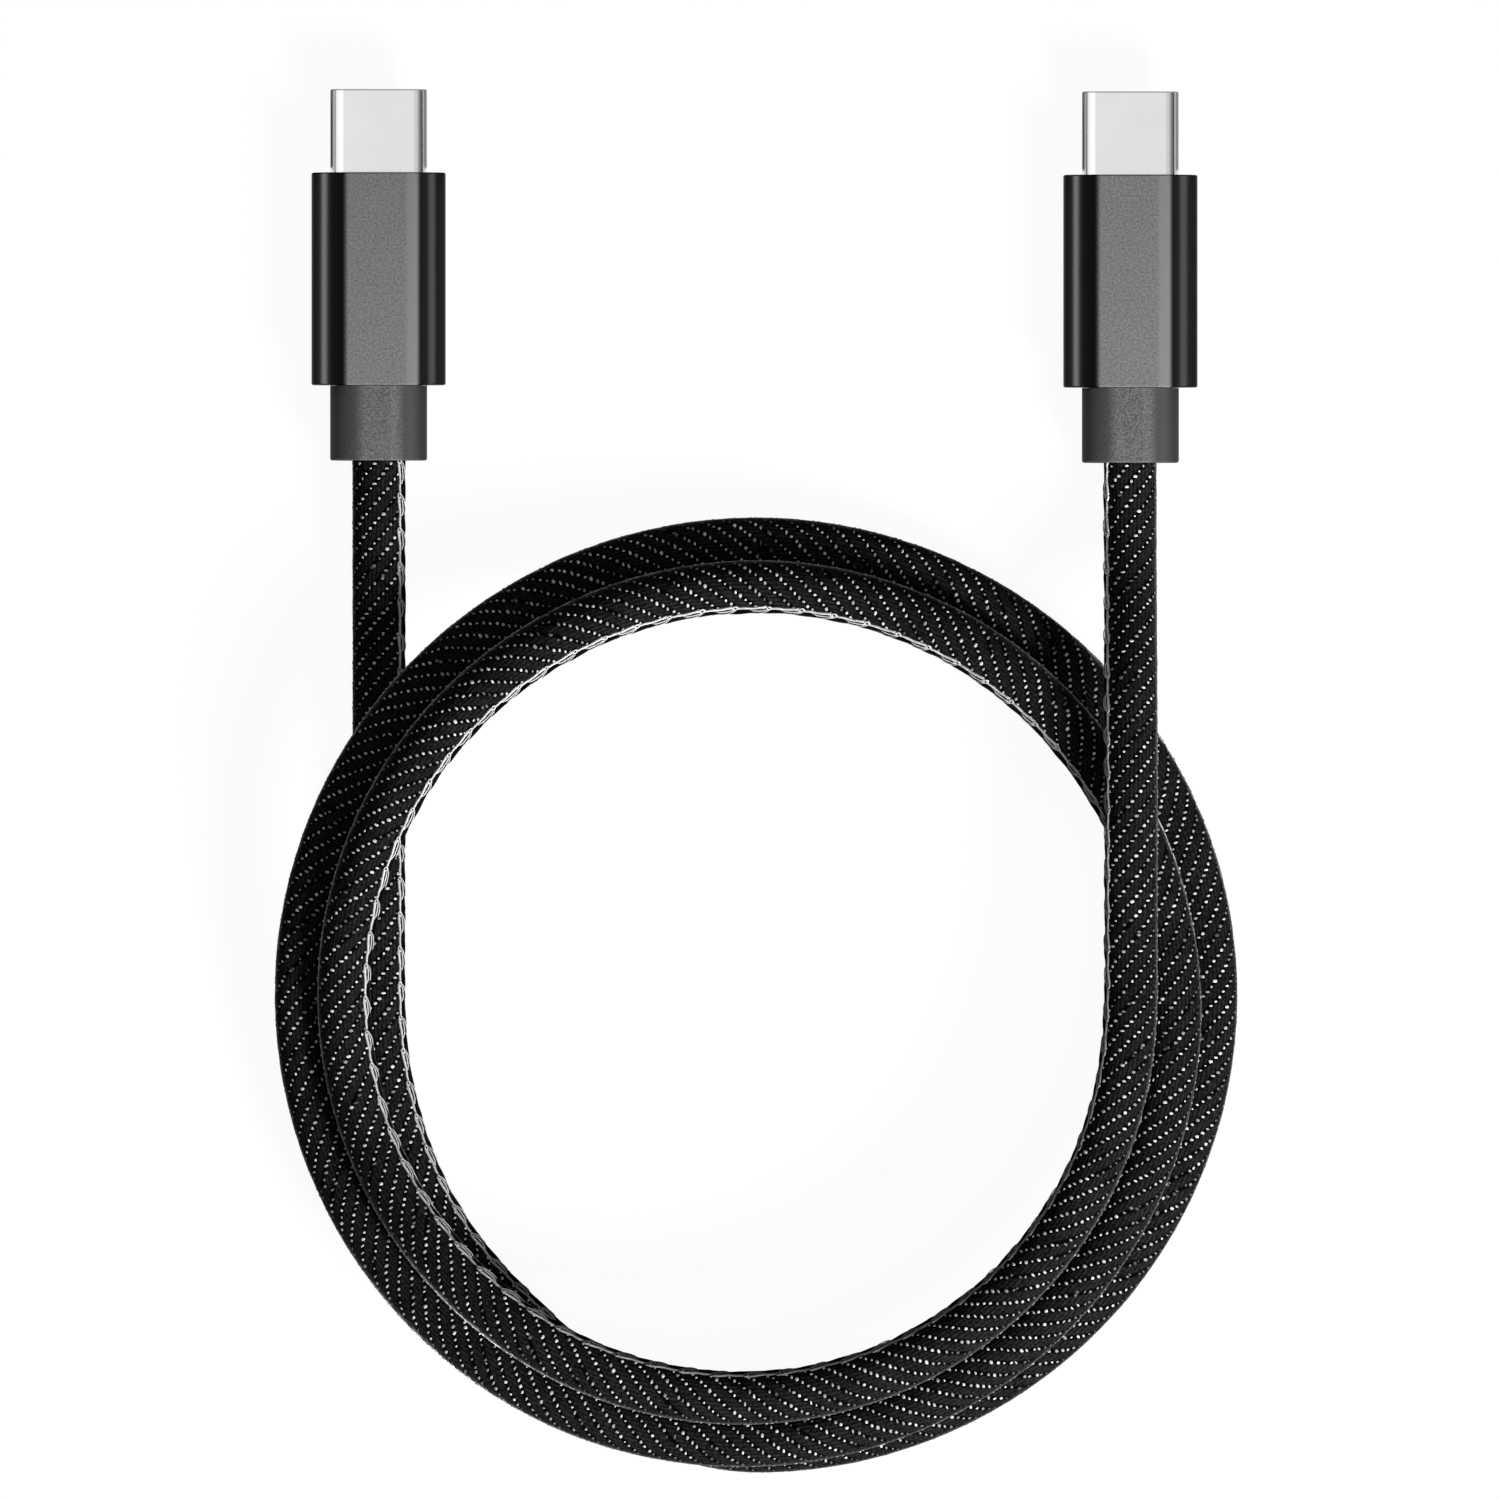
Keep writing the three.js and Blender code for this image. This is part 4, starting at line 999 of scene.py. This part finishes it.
def collar_surface(axis_x):
    """Soft dark plastic with a paler band along its middle as a painted highlight, and painted
    shade on its sides.
    """

    def surface(nodes):
        position = nodes.position()
        across = nodes.across_plug(axis_x, position)
        grain = nodes.noise(8000.0, 2.0, position).over(0.25, 0.75)
        flat = nodes.mixed(*COLLAR_FLAT, grain + across.within(*COLLAR_LINE) * 0.15)
        left = nodes.mixed(*COLLAR_LEFT_SHADE, across.over(*COLLAR_LEFT_SHADE_AT) * 0.6 + grain * 0.4)
        right = nodes.mixed(*COLLAR_RIGHT_SHADE, across.over(*COLLAR_RIGHT_SHADE_AT) * 0.85 + grain * 0.15)
        side = nodes.mixed(left, right, across.over(-1.0, 1.0))
        colour = nodes.mixed(side, flat, across.within(*COLLAR_HIGHLIGHT_BAND))
        return {"Base Color": colour, "Normal": nodes.bump(grain, 0.35, 0.05)}

    return surface


def steel_surface(nodes):
    """Polished steel with fine scratches along the plug."""
    position = nodes.position()
    stretched = nodes.add("ShaderNodeVectorMath", {"operation": "MULTIPLY"},
                          {0: position, 1: BRUSHED_ALONG})
    brushed = nodes.noise(9000.0, 2.0, stretched)
    cloud = nodes.noise(260.0, 2.0, position)
    colour = nodes.mixed(*STEEL, brushed * 0.5 + cloud * 0.5)
    return {"Base Color": colour, "Roughness": 0.10 + 0.08 * cloud}


def even_finish(name, colour, roughness, paler=1.35, metallic=0.0):
    """Moulded plastic or another even finish, whose fine grain goes up to a paler shade."""

    def surface(nodes):
        grain = nodes.noise(5000.0)
        pale = tuple(min(1.0, c * paler) for c in colour)
        return {"Base Color": nodes.mixed(colour, pale, grain),
                "Normal": nodes.bump(grain, 0.15, 0.02)}

    return finish_of(name, surface, Metallic=metallic, Roughness=roughness)


steel = finish_of("shell_steel", steel_surface, Metallic=1.0)
spring_steel = even_finish("spring_steel", (0.42, 0.41, 0.39), 0.3, metallic=1.0)
gold = even_finish("contact_gold", (0.62, 0.42, 0.16), 0.28, metallic=1.0)
black_plastic = even_finish("black_plastic", grey(0.012), 0.5, 1.8)
mould_plastic = even_finish("inner_mould", (0.20, 0.20, 0.19), 0.55)
board_green = even_finish("board", (0.012, 0.085, 0.03), 0.4)
chip_black = even_finish("chip", grey(0.011), 0.45, 1.6)
ceramic = even_finish("ceramic", (0.28, 0.19, 0.10), 0.5)

# The finishes of the CAD's own pieces inside each plug and inside the cord.
IN_PLUG = [
    (black_plastic, ["contact_block"]),
    (gold, ["upper_contacts", "lower_contacts"]),
    (spring_steel, ["latch_plate", "upper_ground_spring", "lower_ground_spring", "upper_shield",
                    "lower_shield", "crimp_ring"]),
    (board_green, ["board"]),
    (chip_black, ["marker_chip", "resistor"]),
    (ceramic, ["capacitor"]),
    (mould_plastic, ["inner_mould"]),
]
IN_CORD = {
    "cable_jacket": even_finish("jacket", grey(0.014), 0.5, 1.6),
    "power_wire": even_finish("wire_red", (0.36, 0.016, 0.016), 0.4),
    "ground_wire": even_finish("wire_black", grey(0.012), 0.4, 1.6),
    "data_wire_plus": even_finish("wire_green", (0.03, 0.22, 0.05), 0.4),
    "data_wire_minus": even_finish("wire_white", (0.62, 0.61, 0.57), 0.4, 1.15),
    "configuration_wire": even_finish("wire_blue", (0.03, 0.07, 0.32), 0.4),
}


def repaint(node, material):
    for slot in bpy.data.objects[node].material_slots:
        slot.material = material


def dress_plug(side, axis_x, exit_y):
    """The plug's outer pieces, and the finishes of the pieces inside it."""
    place = np.array([axis_x, exit_y, AXIS_HEIGHT])
    aluminium = finish_of(side + "_housing", housing_surface(axis_x), Roughness=0.27,
                          Specular_IOR_Level=0.0, Specular_Tint=(0.5, 0.5, 0.5, 1.0))
    soft_plastic = finish_of(side + "_collar", collar_surface(axis_x), Roughness=0.7,
                             Specular_IOR_Level=0.2)
    outer = {"housing": (housing_form, aluminium, "housing_aluminium"),
             "collar": (collar_form, soft_plastic, "collar"),
             "plug_shell": (shell_form, steel, "shell_steel"),
             "nose_ring": (nose_form, black_plastic, "black_plastic")}
    for node, (form, material, slot) in outer.items():
        points, faces = form()
        piece = mesh_object(side + "_" + node + "_fine", (points + place) * MM, faces, material,
                            sharp=SHARP_OVER)
        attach(piece, "root")
        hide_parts(side + "_" + node)
    for material, nodes in IN_PLUG:
        for node in nodes:
            repaint(side + "_" + node, material)


dress_plug("left", LEFT_X, LEFT_EXIT)
dress_plug("right", RIGHT_X, RIGHT_EXIT)
for node, material in IN_CORD.items():
    repaint(node, material)

# ---- The cord, as one declared piece with what is woven and sewn on it ----
for piece in (woven_sleeve, *ON_CORD):
    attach(piece, "root")
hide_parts("right_tail_sleeve", "coil_sleeve", "left_tail_sleeve")

# ---- Floor and light. Places are in metres ----
FLOOR_REACH, FLOOR_DROP = 1.5, 0.05 * MM
FLOOR_LIT, FLOOR_SEEN = grey(0.42), grey(0.8)
GLOW, GLOW_SHARE = 1.02, 0.93
WHITE = (1.0, 1.0, 1.0, 1.0)
CARD_TONE = (0.25, 0.25, 0.25, 1.0)
CARD_REACH, CARD_FROM = 26, 0.5  # in millimetres
SKY_LIGHT = 0.09
# What polished metal sees of the walls: gains and losses of light on each side.
LEFT_GAIN, LEFT_FADE = 0.34, 0.8
RIGHT_LOSS, FAR_RIGHT_LOSS = 0.2, 0.6
LOW_WALL_LOSS, AHEAD_LOSS = 0.9, 0.6
MIDDLE = Vector((0, -0.04, 0))
HOUSINGS = ("left_housing_fine", "right_housing_fine")


def floor_shader(nodes):
    """White where it is seen, and a plain grey for the light that it throws back."""
    seen, _ = nodes.rays()
    paint = nodes.matt(nodes.mixed(FLOOR_LIT, FLOOR_SEEN, seen))
    glow = nodes.add("ShaderNodeEmission", {}, {"Color": WHITE, "Strength": GLOW})
    return nodes.add("ShaderNodeMixShader", {}, {0: seen * GLOW_SHARE, 1: paint, 2: glow})


def flat_piece(name, x_from, x_to, y_from, y_to, height, material):
    corners = [(x_from, y_from, height), (x_to, y_from, height), (x_to, y_to, height),
               (x_from, y_to, height)]
    return mesh_object(name, corners, [(0, 1, 2, 3)], material)


def dark_card(name, axis_x, front_y):
    """A dark card on the table under a plug's shell, which shows only in polished metal."""
    card = flat_piece(name, (axis_x - CARD_REACH) * MM, (axis_x + CARD_REACH) * MM,
                      (front_y + CARD_FROM) * MM, (front_y + CARD_REACH) * MM, 0.0,
                      material_of(name, lambda nodes: nodes.matt(CARD_TONE)))
    for kind in ("camera", "diffuse", "transmission", "shadow", "volume_scatter"):
        setattr(card, "visible_" + kind, False)


def studio_world():
    """White where it is seen, a low plain level of light, and uneven walls for polished metal."""
    world = bpy.data.worlds.new("studio")
    bpy.context.scene.world = world
    nodes = emptied(world)
    seen, glossy = nodes.rays()
    direction = nodes.add("ShaderNodeTexCoord", out="Generated")
    across, ahead, upward = nodes.add("ShaderNodeSeparateXYZ", {}, {0: direction}, (0, 1, 2))
    leftward = across * -1.0
    bright_left = leftward.over(0.03, 0.2) * (1 - leftward.over(0.65, 1.0) * LEFT_FADE) * LEFT_GAIN
    dim_right = 1 - across.over(0.05, 0.35) * RIGHT_LOSS - across.over(0.5, 0.95) * FAR_RIGHT_LOSS
    low_walls = (1 - upward.over(0.1, 0.35)) * abs(across).over(0.5, 0.8)
    dim_ahead = 1 - ahead.over(0.3, 0.8) * AHEAD_LOSS
    in_metal = (1 + bright_left) * dim_right * (1 - low_walls * LOW_WALL_LOSS) * dim_ahead
    strength = SKY_LIGHT + (1 - SKY_LIGHT) * seen + (in_metal - 1) * glossy
    sky = nodes.add("ShaderNodeBackground", {}, {"Color": WHITE, "Strength": strength})
    nodes.add("ShaderNodeOutputWorld", {}, {0: sky})


def area_light(name, place, size, power):
    """A soft lamp that faces the middle of the coil."""
    data = bpy.data.lights.new(name, "AREA")
    data.shape, data.size, data.size_y, data.energy = "RECTANGLE", *size, power
    lamp = in_scene(name, data)
    lamp.location = place
    lamp.rotation_euler = (MIDDLE - Vector(place)).to_track_quat("-Z", "Y").to_euler()
    lamp.visible_camera = False
    lamp.visible_glossy = False
    return lamp


def side_strip(name, place, size, power):
    """A long lamp that only the housings' polished sides reflect."""
    strip = area_light(name, place, size, power)
    strip.visible_glossy = True
    strip.visible_diffuse = False
    polished = bpy.data.collections.new(name + "_shows_in")
    for housing in HOUSINGS:
        polished.objects.link(bpy.data.objects[housing])
    strip.light_linking.receiver_collection = polished


table = flat_piece("table", -FLOOR_REACH, FLOOR_REACH, -FLOOR_REACH, FLOOR_REACH, -FLOOR_DROP,
                   material_of("white_table", floor_shader))
studio_world()
area_light("key_lamp", (0.43, -0.55, 0.45), (0.21, 0.21), 12.8)
area_light("top_lamp", (0.0, -0.04, 1.5), (0.8, 0.8), 3.4)
side_strip("left_strip", (-0.75, -0.04, 0.25), (1.0, 0.32), 19.0)
side_strip("right_strip", (0.72, -0.04, 0.3), (1.0, 0.4), 6.8)
dark_card("left_dark_card", LEFT_X, LEFT_EXIT + HOUSING_FRONT)
dark_card("right_dark_card", RIGHT_X, RIGHT_EXIT + HOUSING_FRONT)
bpy.context.scene.view_settings.view_transform = "Standard"
